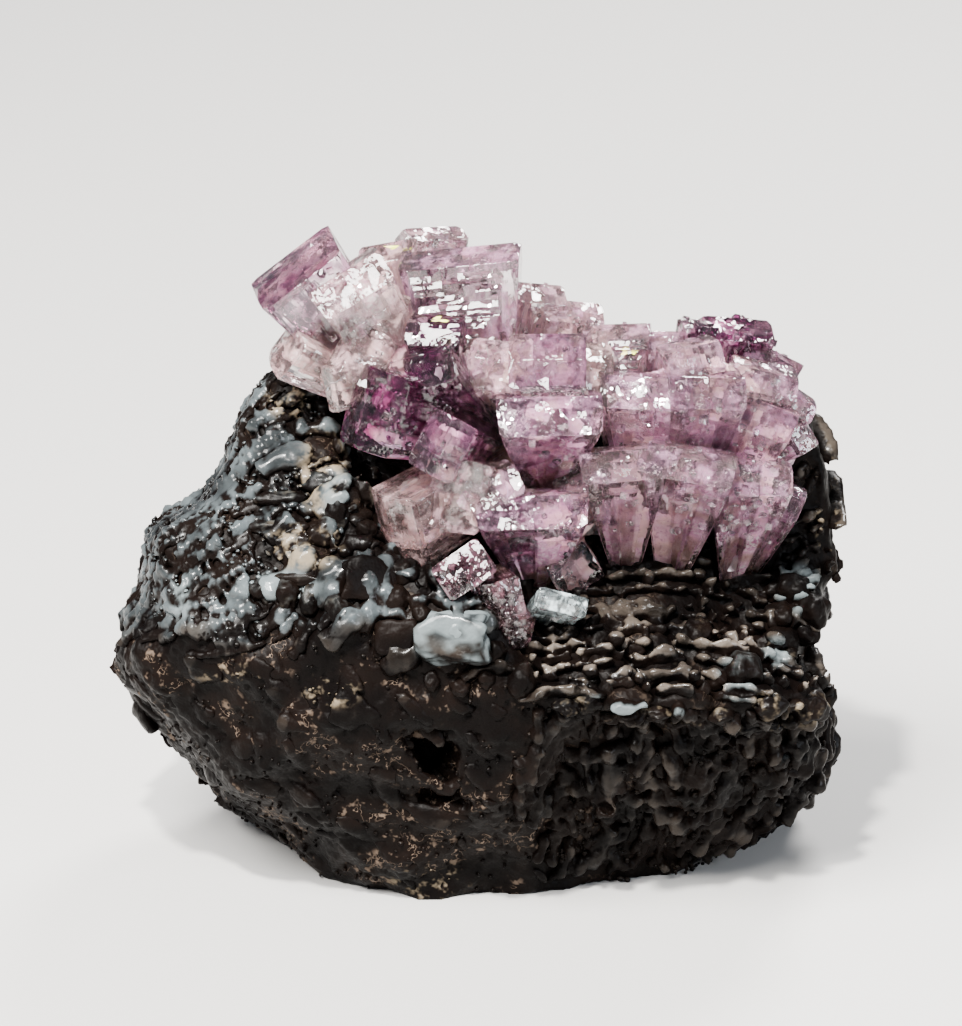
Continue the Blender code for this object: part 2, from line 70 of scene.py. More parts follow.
# Shader maths, written as expressions
def operator(operation, turned=False):
    def apply(self, other):
        return self.math(operation, other, self) if turned else self.math(operation, self, other)
    return apply


class Value:
    def __init__(self, look, socket):
        self.look, self.socket = look, socket

    def math(self, operation, first, second):
        return self.look.make("Math", {"operation": operation}, {0: first, 1: second})

    __add__, __radd__ = operator("ADD"), operator("ADD", True)
    __sub__, __rsub__ = operator("SUBTRACT"), operator("SUBTRACT", True)
    __mul__, __rmul__ = operator("MULTIPLY"), operator("MULTIPLY", True)


class Look:
    def __init__(self, name):
        self.material = bpy.data.materials.new(name)
        self.material.use_nodes = True
        self.tree = self.material.node_tree
        self.tree.nodes.clear()
        self.end = self.tree.nodes.new("ShaderNodeOutputMaterial")

    def make(self, kind, settings=None, sockets=None, out=0):
        node = self.tree.nodes.new("ShaderNode" + kind)
        for name, value in (settings or {}).items():
            setattr(node, name, value)
        for name, value in (sockets or {}).items():
            if isinstance(value, Value):
                self.tree.links.new(value.socket, node.inputs[name])
            else:
                node.inputs[name].default_value = value
        return Value(self, node.outputs[out])

    def attribute(self, name, out="Fac"):
        return self.make("Attribute", {"attribute_name": name}, out=out)

    def mix(self, factor, first, second):
        first = (*first, 1.0) if isinstance(first, tuple) else first
        second = (*second, 1.0) if isinstance(second, tuple) else second
        return self.make("Mix", {"data_type": "RGBA"}, {0: factor, 6: first, 7: second}, out=2)

    def spread(self, value, low, high, start=0.0, stop=1.0):
        return self.make("MapRange", {"interpolation_type": "SMOOTHSTEP"},
                         {"Value": value, "From Min": low, "From Max": high,
                          "To Min": start, "To Max": stop})

    def noise(self, place, scale, detail=3.0, rough=0.55, twist=0.0):
        return self.make("TexNoise", None, {"Vector": place, "Scale": scale, "Detail": detail,
                                            "Roughness": rough, "Distortion": twist})

    def stretch(self, place, scale):
        return self.make("VectorMath", {"operation": "MULTIPLY"}, {0: place, 1: scale})

    def finish(self, shader, volume=None):
        self.tree.links.new(shader.socket, self.end.inputs["Surface"])
        if volume:
            self.tree.links.new(volume.socket, self.end.inputs["Volume"])
        return self.material


# Repeatable noise on arrays of points, in millimetres
def scatter(cells, seed):
    spots = cells.astype(np.int64).astype(np.uint32)
    mixed = (spots[:, 0] * np.uint32(73856093)) ^ (spots[:, 1] * np.uint32(19349663))
    mixed ^= (spots[:, 2] * np.uint32(83492791)) ^ np.uint32(seed * 2654435 + 1013)
    columns = []
    for turn in (2246822519, 3266489917, 668265263):
        mixed = (mixed ^ (mixed >> np.uint32(15))) * np.uint32(turn)
        mixed ^= mixed >> np.uint32(13)
        columns.append((mixed & np.uint32(0xFFFFFF)) / float(0xFFFFFF))
    return np.stack(columns, 1)


def swell(points, size, seed):
    grid = points / size
    base = np.floor(grid)
    part = grid - base
    fade = part ** 3 * (part * (part * 6 - 15) + 10)
    total = np.zeros(len(points))
    for corner in np.ndindex(2, 2, 2):
        step = np.array(corner, float)
        slope = scatter(base + step, seed) * 2 - 1
        weight = np.prod(np.where(step > 0, fade, 1 - fade), axis=1)
        total += weight * ((part - step) * slope).sum(1)
    return total * 1.7


def layeredSwell(points, size, layers, seed):
    return sum(swell(points, size / 2 ** k, seed + k) * 0.5 ** k for k in range(layers))


def cellFields(points, size, seed):
    # how far the nearest scattered spot is, and a chance that belongs to that spot
    grid = points / size
    base = np.floor(grid)
    nearest = np.full(len(points), 9.0)
    chance = np.zeros(len(points))
    for corner in np.ndindex(3, 3, 3):
        cell = base + np.array(corner, float) - 1
        spot = scatter(cell, seed)
        reach = np.linalg.norm(grid - cell - 0.15 - spot * 0.7, axis=1)
        closer = reach < nearest
        chance = np.where(closer, spot[:, 0], chance)
        nearest = np.where(closer, reach, nearest)
    return nearest, chance


def ease(value, low, high):
    part = np.clip((value - low) / (high - low), 0, 1)
    return part * part * (3 - 2 * part)


def newPiece(name, mesh, material, smooth=True):
    piece = bpy.data.objects.new(name, mesh)
    bpy.context.scene.collection.objects.link(piece)
    if smooth:
        mesh.shade_smooth()
    mesh.materials.clear()
    mesh.materials.append(material)
    return piece


def evaluatedMesh(piece):
    bpy.context.view_layer.update()
    return bpy.data.meshes.new_from_object(piece.evaluated_get(bpy.context.evaluated_depsgraph_get()))


def storeField(mesh, name, values):
    field = mesh.attributes.new(name, "FLOAT", "POINT")
    field.data.foreach_set("value", np.asarray(values, np.float32))


# Camera, floor and light
view = {"target": (0.0, 20.6, -4.0), "distance": 0.30, "frameHeight": 0.0595, "sensor": 36.0}


def setCamera():
    camera = bpy.data.cameras.new("camera")
    rig = bpy.data.objects.new("camera", camera)
    bpy.context.scene.collection.objects.link(rig)
    look = Vector((0, sightCos, -sightSin))
    rig.location = seen(*view["target"]) - look * view["distance"]
    rig.rotation_euler = look.to_track_quat("-Z", "Y").to_euler()
    camera.sensor_width = view["sensor"]
    camera.lens = view["sensor"] * view["distance"] / view["frameHeight"]
    camera.clip_start = 0.01
    bpy.context.scene.camera = rig


studio = {
    "floor": (0.46, 0.452, 0.44), "floorSize": 1.5, "floorRough": 0.6,
    "world": (0.84, 0.89, 1.0), "worldStrength": 0.36,
    # place, size, power and colour of each lamp, and the place that they all aim at
    "aim": (0, 18, 0),
    "lamps": {
        "softBox": ((-0.14, -0.16, 0.28), 0.20, 5.5, (1.0, 0.98, 0.95)),
        "key": ((-0.05, -0.17, 0.31), 0.022, 4.3, (1.0, 0.97, 0.92)),
        "fill": ((0.30, -0.22, 0.16), 0.16, 1.1, (0.86, 0.92, 1.0)),
        "back": ((0.10, 0.24, 0.24), 0.12, 2.4, (1.0, 0.98, 0.96)),
    },
}


def setStudio():
    look = Look("floor")
    paint = look.make("BsdfPrincipled", None, {
        "Base Color": (*studio["floor"], 1.0), "Roughness": studio["floorRough"]})
    mesh = bpy.data.meshes.new("floor")
    bm = bmesh.new()
    bmesh.ops.create_grid(bm, x_segments=1, y_segments=1, size=studio["floorSize"])
    bm.to_mesh(mesh)
    bm.free()
    newPiece("floor", mesh, look.finish(paint), smooth=False)

    world = bpy.data.worlds.new("studio")
    world.use_nodes = True
    sky = world.node_tree.nodes["Background"]
    sky.inputs["Color"].default_value = (*studio["world"], 1.0)
    sky.inputs["Strength"].default_value = studio["worldStrength"]
    bpy.context.scene.world = world

    aim = seen(*studio["aim"])
    for name, (place, size, power, shade) in studio["lamps"].items():
        lamp = bpy.data.lights.new(name, "AREA")
        lamp.shape = "DISK"
        lamp.size, lamp.energy, lamp.color = size, power, shade
        rig = bpy.data.objects.new(name, lamp)
        bpy.context.scene.collection.objects.link(rig)
        rig.location = place
        rig.rotation_euler = (aim - Vector(place)).to_track_quat("-Z", "Y").to_euler()


setCamera()
setStudio()
print("camera, floor and light are set")


# The ironstone matrix
stone = {
    "voxel": 0.20, "triangles": 105000,
    # how far the ground lies under what is laid on it
    "sunk": 0.22,
    # lumps on the back and beads under the folds: spacing, and the reach of each as a share of it
    "lump": (1.25, 0.78), "bead": (0.55, 0.75),
    # pits in the smooth side: their reach, how rare they are, and their depth
    "pits": (0.42, 0.78, 0.15),
    # tan and pale blue-white stains: across, up, half width, half height
    "tanStains": [(-10.4, 18.6, 2.4, 1.4), (-9.2, 23.0, 1.5, 2.6), (-11.2, 27.2, 1.5, 1.2),
                  (-3.0, -1.2, 2.3, 1.4), (19.0, 9.2, 1.4, 1.1), (20.4, 21.0, 0.8, 4.2),
                  (16.6, 9.5, 1.1, 0.9), (-14.6, 11.4, 2.2, 0.8), (-8.6, 10.4, 1.8, 1.0),
                  (-3.6, -1.6, 2.4, 1.0)],
    "paleStains": [(-11.6, 16.4, 2.6, 1.0), (-8.2, 21.6, 1.1, 1.6), (-1.7, 13.4, 2.2, 1.7),
                   (-17.4, 15.6, 0.7, 1.4), (18.6, 16.2, 1.6, 1.5), (14.9, 11.4, 1.4, 1.2),
                   (17.2, 12.6, 0.9, 0.9), (10.0, 9.6, 6.0, 0.7)],
    # a torn hollow along a line of places (across, up)
    "gouge": [(-3.9, 7.1), (-2.4, 7.4), (-3.0, 6.1), (-1.9, 5.4), (-1.7, 4.2), (-1.2, 3.7)],
    "gougeDepth": 1.2,
    # where the stone turns to its right side, and how far what is laid on it may pass the solids' box
    "outerEdge": 0.55, "margin": 0.5,
    # the line between the flank and the hollow: up, across
    "hollowRim": ([-6, 9, 13.5, 15.5, 18, 23, 28], [4.0, 3.0, 2.4, 0.6, -3.6, -7.4, -8.8]),
}
# colours of the stone; the two crest colours are partly the crests' own tone and partly a painted highlight
stoneShades = {
    "dark": (0.0013, 0.0008, 0.0007), "brown": (0.0036, 0.0021, 0.0016),
    "coldCrestAndHighlight": (0.050, 0.060, 0.064), "warmCrestAndHighlight": (0.105, 0.086, 0.070),
    "web": (0.115, 0.082, 0.060), "tan": (0.165, 0.130, 0.088), "pale": (0.115, 0.137, 0.142),
}


def patches(across, up, places):
    most = np.zeros(len(across))
    for x, y, halfWide, halfHigh in places:
        reach = np.hypot((across - x) / halfWide, (up - y) / halfHigh)
        most = np.maximum(most, 1 - ease(reach, 0.55, 1.15))
    return most


def regions(points, normals):
    # the parts of the stone by the relief that each has: shares from 0 to 1
    across = points[:, 0]
    up = points[:, 1] * sightSin + points[:, 2] * sightCos
    facing = -normals[:, 1] * sightCos + normals[:, 2] * sightSin
    front = ease(facing, -0.25, 0.15)
    uneven = swell(points, 2.4, 61) + 0.6 * swell(points, 0.9, 62)
    right = ease(across - np.interp(up, *stone["hollowRim"]) + 1.3 * uneven, -1.2, 1.2)
    upper = ease(up + 1.2 * uneven, 12.0, 15.0)
    low = 1 - ease(up, 8.6, 9.8)
    outside = 1 - ease(normals[:, 0], 0.50, 0.80)
    return {
        "across": across, "up": up, "front": front, "back": 1 - front,
        "flank": front * (1 - right) * upper,
        "nearRim": ease(across, -13.0, -9.0),
        "shelf": front * right * outside * ease(up, 9.0, 10.6) * (1 - ease(up, 19.5, 21.0)),
        "wall": front * right * outside * ease(up, 18.5, 20.5),
        "columns": front * right * low,
        "lowLeft": front * (1 - right) * (1 - upper),
    }


def finishFields(mesh, points, part, crest):
    # crests on the flank get a blue-grey tone with a painted highlight, on the shelf a brown-grey one, the
    # rest stays dull
    front = np.maximum(part["front"], 0.15)
    storeField(mesh, "crest", crest)
    storeField(mesh, "mottle", ease(layeredSwell(points, 3.4, 3, 81), -0.45, 0.5))
    storeField(mesh, "tan", patches(part["across"], part["up"], stone["tanStains"]) * front)
    storeField(mesh, "pale", patches(part["across"], part["up"], stone["paleStains"]) * front)
    storeField(mesh, "smooth", part["lowLeft"])
    storeField(mesh, "warm", np.clip(1 - part["flank"] * 1.2, 0, 1))
    storeField(mesh, "gleam", 0.10 + 0.90 * part["flank"]
               + part["shelf"] * (0.95 - 0.75 * ease(part["up"], 12.6, 15.2)) + 0.10 * part["columns"]
               + 0.06 * part["back"] + 0.3 * part["wall"])


def gouge(part, points):
    # a torn hollow: 1 along its middle line, 0 away from it
    line = np.array(stone["gouge"])
    nearest = np.full(len(points), 99.0)
    for (x, y), (endX, endY) in zip(line[:-1], line[1:]):
        wayX, wayY = endX - x, endY - y
        offX, offY = part["across"] - x, part["up"] - y
        share = np.clip((offX * wayX + offY * wayY) / (wayX ** 2 + wayY ** 2), 0, 1)
        nearest = np.minimum(nearest, np.hypot(offX - wayX * share, offY - wayY * share))
    return 1 - ease(nearest + 0.30 * swell(points, 0.8, 65), 0.25, 0.62)


def stoneRelief(points, normals):
    part = regions(points, normals)
    lumpSize, lumpReach = stone["lump"]
    beadSize, beadReach = stone["bead"]
    pitReach, pitRare, pitDepth = stone["pits"]
    near, _ = cellFields(points, lumpSize, 11)
    lumps = np.sqrt(np.clip(1 - (near / lumpReach) ** 2, 0, 1))
    nearFine, chanceFine = cellFields(points, beadSize, 12)
    beads = np.sqrt(np.clip(1 - (nearFine / beadReach) ** 2, 0, 1))
    broad = layeredSwell(points, 2.6, 3, 21)
    laid = part["flank"] + part["shelf"] + part["columns"] + part["wall"]
    relief = laid * (-stone["sunk"] + (beads - 0.5) * 0.12 + broad * 0.12) - part["columns"] * 0.12
    holes = (nearFine < pitReach) & (chanceFine > pitRare)
    relief -= part["front"] * stone["gougeDepth"] * gouge(part, points)
    relief += part["lowLeft"] * (broad * 0.26 - np.where(holes, pitDepth, 0.0))
    relief += part["back"] * ((lumps - 0.5) * 0.30 + broad * 0.22)
    relief += layeredSwell(points, 0.5, 2, 31) * (0.05 + 0.07 * part["lowLeft"] + 0.05 * part["back"])
    # crest sets the crest tone and its painted highlight; pits get less of it, which paints them darker:
    # painted shade
    crest = laid * beads * 0.4 + part["lowLeft"] * (0.45 - 0.3 * holes) + part["back"] * lumps * 0.8
    return relief, crest, part


def stoneLook(name, web=False):
    look = Look(name)
    place = look.make("TexCoord", out="Object")
    crest, mottle, gleam = look.attribute("crest"), look.attribute("mottle"), look.attribute("gleam")
    tan, pale, smooth = look.attribute("tan"), look.attribute("pale"), look.attribute("smooth")
    fine = look.noise(place, 1400.0, 2.0, 0.65)
    top = look.spread(crest + (fine - 0.5) * 0.5, 0.45, 1.1)

    shade = look.mix(mottle, stoneShades["dark"], stoneShades["brown"])
    # crest colour: partly the crests' own blue-grey or brown-grey tone, partly a painted highlight
    crestToneAndHighlight = look.mix(look.attribute("warm"), stoneShades["coldCrestAndHighlight"], stoneShades["warmCrestAndHighlight"])
    # lit is the share of that painted highlight, on high crests where gleam is set
    lit = look.spread(top, 0.30, 1.0) * gleam * (0.25 + 0.75 * mottle)
    shade = look.mix(lit, shade, crestToneAndHighlight)
    if web:
        # a thin tan web and specks on the smooth side
        vein = look.noise(place, 620.0, 3.0, 0.7, 0.5)
        line = look.make("Math", {"operation": "ABSOLUTE"}, {0: vein - 0.5})
        webMask = (1 - look.spread(line, 0.001, 0.009)) * look.spread(mottle, 0.72, 0.95)
        speckMask = look.spread(fine, 0.58, 0.70) * look.spread(mottle, 0.30, 0.75)
        spots = look.make("Math", {"operation": "MAXIMUM"}, {0: webMask, 1: speckMask * 0.6})
        shade = look.mix(spots * (0.25 + 0.75 * smooth), shade, stoneShades["web"])
    tanMask = tan * look.spread(fine * 0.8 + crest * 0.3, 0.56, 0.76)
    shade = look.mix(tanMask * 0.85, shade, stoneShades["tan"])
    paleMask = pale * look.spread(crest + fine * 0.6, 0.78, 1.20)
    shade = look.mix(paleMask * 0.75, shade, stoneShades["pale"])

    rough = 0.46 - top * 0.16 + (fine - 0.5) * 0.35 + tanMask * 0.3
    bump = look.make("Bump", None, {"Strength": 0.8, "Distance": 0.00015, "Height": fine})
    paint = look.make("BsdfPrincipled", None, {
        "Base Color": shade, "Roughness": rough, "Normal": bump,
        "Specular IOR Level": 0.04, "Coat Weight": top * gleam * 0.45, "Coat Roughness": 0.16})
    return look.finish(paint)


def withinBox(places):
    # nothing laid on the stone reaches past the solids' box by more than the margin, or under the floor
    low, high = np.array(cadBox) / mm
    margin = stone["margin"]
    return np.clip(places, low - (margin, margin, 0), high + margin)


def readPoints(mesh):
    places, normals = np.empty(len(mesh.vertices) * 3), np.empty(len(mesh.vertices) * 3)
    mesh.vertices.foreach_get("co", places)
    mesh.vertices.foreach_get("normal", normals)
    return places.reshape(-1, 3), normals.reshape(-1, 3)


def makeMatrix():
    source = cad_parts["matrix"].data.copy()
    bm = bmesh.new()
    bm.from_mesh(source)
    bmesh.ops.transform(bm, matrix=Matrix.Scale(1 / mm, 4), verts=bm.verts)
    bmesh.ops.remove_doubles(bm, verts=bm.verts, dist=1e-4)
    bm.to_mesh(source)
    bm.free()
    piece = newPiece("matrix_stone", source, stoneLook("ironstone", web=True))
    remesh = piece.modifiers.new("fine", "REMESH")
    remesh.mode = "VOXEL"
    remesh.voxel_size = stone["voxel"]
    mesh = evaluatedMesh(piece)
    piece.modifiers.clear()
    piece.data = mesh
    print("matrix remeshed to", len(mesh.vertices), "points")

    places, normals = readPoints(mesh)
    relief, crest, part = stoneRelief(places + middlePoint, normals)
    places += normals * (relief * ease(places[:, 2], 0.05, 0.9))[:, None]
    places[:, 2] = np.maximum(places[:, 2], 0)
    mesh.vertices.foreach_set("co", places.ravel())
    finishFields(mesh, places, part, crest)

    mesh.update()
    thin = piece.modifiers.new("thin", "DECIMATE")
    thin.ratio = min(1.0, stone["triangles"] / (2 * len(mesh.polygons)))
    piece.data = evaluatedMesh(piece)
    piece.modifiers.clear()
    piece.data.transform(Matrix.Scale(mm, 4))
    piece.data.shade_smooth()
    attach(piece, "root")
    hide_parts("matrix")
    print("matrix has", len(piece.data.polygons), "triangles")
    return piece


matrixPiece = makeMatrix()


# Folds, plates, pillars and lumps, laid on the stone as tubes and then fused
class Ground:
    # the stone's surface in millimetres: places to start from, and a way to stay on it
    def __init__(self, piece):
        mesh = piece.data
        mesh.calc_loop_triangles()
        corners = np.empty(len(mesh.loop_triangles) * 3, np.int32)
        mesh.loop_triangles.foreach_get("vertices", corners)
        self.corners = corners.reshape(-1, 3)
        places, self.normals = readPoints(mesh)
        self.places = places / mm
        self.tree = BVHTree.FromPolygons(self.places.tolist(), self.corners.tolist())

    def spots(self, count, seed):
        draw = np.random.default_rng(seed)
        first, second, third = (self.places[self.corners[:, k]] for k in range(3))
        area = np.linalg.norm(np.cross(second - first, third - first), axis=1)
        chosen = draw.choice(len(area), count, p=area / area.sum())
        u, v = draw.random(count), draw.random(count)
        over = u + v > 1
        u, v = np.where(over, 1 - u, u), np.where(over, 1 - v, v)
        points = first[chosen] + (second - first)[chosen] * u[:, None] + (third - first)[chosen] * v[:, None]
        return points, self.normals[self.corners[chosen, 0]]


class Crowd:
    # remembers what has been laid, so that the next one keeps its distance
    def __init__(self, cell):
        self.cell, self.table = cell, {}

    def key(self, point):
        return tuple(math.floor(value / self.cell) for value in point)

    def add(self, point, reach, owner):
        self.table.setdefault(self.key(point), []).append((point, reach, owner))

    def free(self, point, reach, owner, share):
        x, y, z = self.key(point)
        for i in (x - 1, x, x + 1):
            for j in (y - 1, y, y + 1):
                for k in (z - 1, z, z + 1):
                    for other, otherReach, otherOwner in self.table.get((i, j, k), ()):
                        if otherOwner != owner and (other - point).length < (reach + otherReach) * share:
                            return False
        return True


class Tubes:
    # gathers closed, rounded tubes into one mesh, with the fields that its look reads
    sides = 8
    # the underside as a share of the height, and how far the tips stand out
    under, tipOut = 0.55, 0.35
    # unevenness of the fused skin: size, height, and the coat's height at which it is full
    uneven = (0.95, 0.085, 0.42)

    def __init__(self, tall):
        self.tall, self.points, self.faces = tall, [], []

    def add(self, path, normals, reach, wide, high):
        sides, first, count = self.sides, len(self.points), len(path)
        for k, (spot, normal) in enumerate(zip(path, normals)):
            ahead = (path[min(k + 1, count - 1)] - path[max(k - 1, 0)]).normalized()
            across = normal.cross(ahead).normalized()
            for s in range(sides):
                turn = 2 * math.pi * s / sides
                lift = math.sin(turn) * (high if turn < math.pi else high * self.under)
                self.points.append(spot + across * (math.cos(turn) * wide * reach[k])
                                   + normal * (lift * reach[k]))
        for k in range(count - 1):
            ring, after = first + k * sides, first + (k + 1) * sides
            for s in range(sides):
                t = (s + 1) % sides
                self.faces.append((ring + s, after + s, after + t, ring + t))
        last = first + (count - 1) * sides
        self.close(path[0], path[0] * 2 - path[1], first, 1)
        self.close(path[-1], path[-1] * 2 - path[-2], last, -1)

    def close(self, end, beyond, ring, way):
        # a low cone on an end ring, wound one way at the start and the other at the end
        pole = len(self.points)
        self.points.append(end + (beyond - end) * self.tipOut)
        for s in range(self.sides):
            t = (s + 1) % self.sides
            self.faces.append((pole, ring + s, ring + t) if way == 1 else (pole, ring + t, ring + s))

    def build(self, name, voxel, ground):
        mesh = bpy.data.meshes.new(name)
        mesh.from_pydata([tuple(point) for point in self.points], [], self.faces)
        piece = newPiece(name, mesh, stoneLook(name))
        remesh = piece.modifiers.new("fuse", "REMESH")
        remesh.mode = "VOXEL"
        remesh.voxel_size = voxel
        even = piece.modifiers.new("even", "SMOOTH")
        even.factor, even.iterations = 0.5, 2
        piece.data = evaluatedMesh(piece)
        piece.modifiers.clear()
        places, normals = readPoints(piece.data)
        size, height, full = self.uneven
        rough = layeredSwell(places, size, 3, 71) * height * min(1, self.tall / full)
        places += normals * rough[:, None]
        places = withinBox(places)
        piece.data.vertices.foreach_set("co", places.ravel())
        piece.data.update()
        self.fillFields(piece.data, ground)
        piece.data.transform(Matrix.Scale(mm, 4))
        piece.data.shade_smooth()
        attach(piece, "root")
        print(name, "has", 2 * len(piece.data.polygons), "triangles")

    def fillFields(self, mesh, ground):
        # how high each point stands over the ground, and the stains and tint of its place
        crest = []
        for vert in mesh.vertices:
            base, normal, _, _ = ground.tree.find_nearest(vert.co)
            crest.append((vert.co - base).dot(normal))
        places, normals = readPoints(mesh)
        part = regions(places + middlePoint, normals)
        crest = np.clip(np.array(crest) / self.tall, 0, 1) + swell(places, 0.5, 41) * 0.10
        finishFields(mesh, places, part, crest)


# Heading and wander are in degrees on the picture. Wide, high and lift are shares of the radius, and space
# is the share of two radii that neighbours keep apart. Bead and beat swell the tube along its way, tall is
# the height at which its crest is full, and rim is 1 for the coat that keeps to the hollow's rim.
coats = {
    "flank_tongues": {"part": "flank", "rim": 1, "tries": 1500, "heading": 50, "wander": 45, "voxel": 0.15,
                      "length": (1.6, 5.0), "radius": (0.38, 0.85), "wide": 1.05, "high": 0.85, "tall": 0.55,
                      "lift": 0.0, "bead": 0.24, "beat": 1.2, "space": 0.62, "seed": 3},
    "flank_folds": {"part": "flank", "rim": 0, "tries": 16000, "heading": 29, "wander": 24, "voxel": 0.14,
                    "length": (1.2, 8.0), "radius": (0.17, 0.36), "wide": 1.12, "high": 1.25, "tall": 0.42,
                    "lift": 0.15, "bead": 0.42, "beat": 2.2, "space": 0.70, "seed": 5},
    "shelf_plates": {"part": "shelf", "rim": 0, "tries": 8000, "heading": 2, "wander": 22, "voxel": 0.145,
                     "length": (2.5, 10.0), "radius": (0.42, 0.80), "wide": 0.44, "high": 1.25, "tall": 0.70,
                     "lift": 0.05, "bead": 0.30, "beat": 1.7, "space": 0.48, "seed": 7},
    "pillars": {"part": "columns", "rim": 0, "tries": 6000, "heading": 90, "wander": 15, "voxel": 0.17,
                "length": (2.5, 10.0), "radius": (0.30, 0.72), "wide": 0.80, "high": 1.45, "tall": 0.80,
                "lift": -0.10, "bead": 0.20, "beat": 1.0, "space": 0.60, "seed": 9},
    "lower_lumps": {"part": "lowLeft", "rim": 0, "tries": 420, "heading": 50, "wander": 60, "voxel": 0.20,
                    "length": (0.8, 3.6), "radius": (0.6, 1.4), "wide": 1.25, "high": 0.36, "tall": 0.40,
                    "lift": -0.18, "bead": 0.30, "beat": 1.2, "space": 0.72, "seed": 13},
    "wall_ribs": {"part": "wall", "rim": 0, "tries": 900, "heading": 78, "wander": 40, "voxel": 0.15,
                  "length": (0.8, 4.0), "radius": (0.22, 0.5), "wide": 1.05, "high": 1.0, "tall": 0.45,
                  "lift": 0.0, "bead": 0.30, "beat": 1.7, "space": 0.66, "seed": 17},
    "back_lumps": {"part": "back", "rim": 0, "tries": 4200, "heading": 60, "wander": 420, "voxel": 0.28,
                   "length": (0.1, 2.6), "radius": (0.55, 1.90), "wide": 1.20, "high": 0.52, "tall": 0.75,
                   "lift": -0.20, "bead": 0.10, "beat": 1.4, "space": 0.52, "seed": 15},
}


# how far the lowest tubes stay off the floor
floorGap = 0.3


def flow(spot, seed):
    # a slow, smooth swing of the heading from place to place
    x, y, z = spot.x / 3.1 + seed, spot.y / 3.3, spot.z / 2.9
    sway = math.sin(x + 1.7 * math.sin(z * 0.9 + seed))
    return (sway + math.sin(z * 1.3 + 1.3 * math.sin(x * 0.8) + y)) / 2


def walk(start, way, count, step, heading, radius, owner, coat, ground, crowd):
    # follows the ground in steps, until it meets another tube, the floor or the stone's right side
    spot, run = start.copy(), []
    for _ in range(count):
        bend = flow(spot, coat["seed"]) * coat["wander"]
        angle = math.radians(heading + bend)
        ahead = Vector((math.cos(angle), math.sin(angle) * sightSin, math.sin(angle) * sightCos))
        spot, normal, _, _ = ground.tree.find_nearest(spot + ahead * (way * step))
        if not crowd.free(spot, radius, owner, coat["space"]) or spot.z < radius + floorGap:
            break
        if coat["part"] in ("shelf", "wall") and normal.x > stone["outerEdge"]:
            break
        run.append((spot.copy(), normal.copy()))
    return run


def swelling(count, radius, coat, start):
    # the radius at each point of a tube: round ends, and beads along it
    reach = []
    for k in range(count):
        ends = min(k + 0.7, count - 0.3 - k) * 0.62
        taper = math.sqrt(max(0.0, 1 - max(0.0, 1 - ends) ** 2)) if ends < 1 else 1.0
        bead = 1 + coat["bead"] * math.sin(start + k * coat["beat"])
        reach.append(radius * (0.35 + 0.65 * taper) * bead)
    return reach


def layCoat(name, coat, ground, crowd):
    draw = random.Random(coat["seed"])
    tubes = Tubes(coat["tall"])
    spots, normals = ground.spots(coat["tries"] * 4, coat["seed"])
    part = regions(spots + middlePoint, normals)
    share = part[coat["part"]]
    if coat["part"] == "flank":
        share = share * (part["nearRim"] if coat["rim"] else 1 - 0.55 * part["nearRim"])
    fade = np.random.default_rng(coat["seed"] + 50).uniform(0.30, 0.75, len(share))
    keep = np.nonzero(share > fade)[0][:coat["tries"]]
    laid = 0
    for i in keep:
        radius = draw.uniform(*coat["radius"])
        start = Vector(spots[i])
        if start.z < radius + floorGap or not crowd.free(start, radius, None, coat["space"]):
            continue
        length = draw.uniform(*coat["length"])
        heading = coat["heading"] + draw.uniform(-0.15, 0.15) * coat["wander"]
        step = radius * 0.62
        count = int(length / 2 / step)
        forth, back = (walk(start, way, count, step, heading, radius, i, coat, ground, crowd)
                       for way in (1, -1))
        line = back[::-1] + [(start, Vector(normals[i]))] + forth
        if len(line) < 2:
            line.append((start + Vector((0.5, 0, 0.3)) * radius, Vector(normals[i])))
        for spot, _ in line:
            crowd.add(spot, radius, i)
        ups = []
        for k in range(len(line)):
            around = [line[j][1] for j in range(max(0, k - 1), min(len(line), k + 2))]
            ups.append(sum(around, Vector()).normalized())
        reach = swelling(len(line), radius, coat, draw.uniform(0, 7))
        lift = radius * coat["lift"] + draw.uniform(-0.05, 0.12)
        path = [spot + up * lift for (spot, _), up in zip(line, ups)]
        tubes.add(path, ups, reach, coat["wide"], coat["high"])
        laid += 1
    print(name, "laid", laid)
    tubes.build(name, coat["voxel"], ground)


ground = Ground(matrixPiece)
crowd = Crowd(1.2)
for coatName, coat in coats.items():
    layCoat(coatName, coat, ground, crowd)


# Small crumbs and beads: where, how many at most, radius, limits across and up, how far they stand out
crumbs = {
    "flank_crumbs": {"part": "flank", "count": 650, "radius": (0.08, 0.17), "across": (-21, -9),
                     "up": (12, 31), "rise": 0.16, "seed": 31},
    "lower_crumbs": {"part": "columns", "count": 900, "radius": (0.07, 0.17), "across": (2, 22),
                     "up": (-2, 7), "rise": 0.24, "seed": 32},
    "shelf_beads": {"part": "shelf", "count": 70, "radius": (0.16, 0.46), "across": (4, 21),
                    "up": (8, 17), "rise": 0.35, "seed": 33},
    "side_crumbs": {"part": "lowLeft", "count": 400, "radius": (0.06, 0.14), "across": (-19, 5),
                    "up": (-2, 15), "rise": 0.0, "seed": 34},
    "wall_crumbs": {"part": "wall", "count": 260, "radius": (0.10, 0.24), "across": (12, 22),
                    "up": (18, 30), "rise": 0.20, "seed": 35},
}


def ballShape(subdivisions):
    ball = bmesh.new()
    bmesh.ops.create_icosphere(ball, subdivisions=subdivisions, radius=1.0)
    shape = np.array([vert.co[:] for vert in ball.verts])
    sides = np.array([[vert.index for vert in face.verts] for face in ball.faces])
    ball.free()
    return shape, sides


def lumpMesh(name, points, faces):
    mesh = bpy.data.meshes.new(name)
    places = withinBox(np.concatenate(points))
    mesh.from_pydata(places.tolist(), [], np.concatenate(faces).tolist())
    places, normals = readPoints(mesh)
    return mesh, places, normals, regions(places + middlePoint, normals)


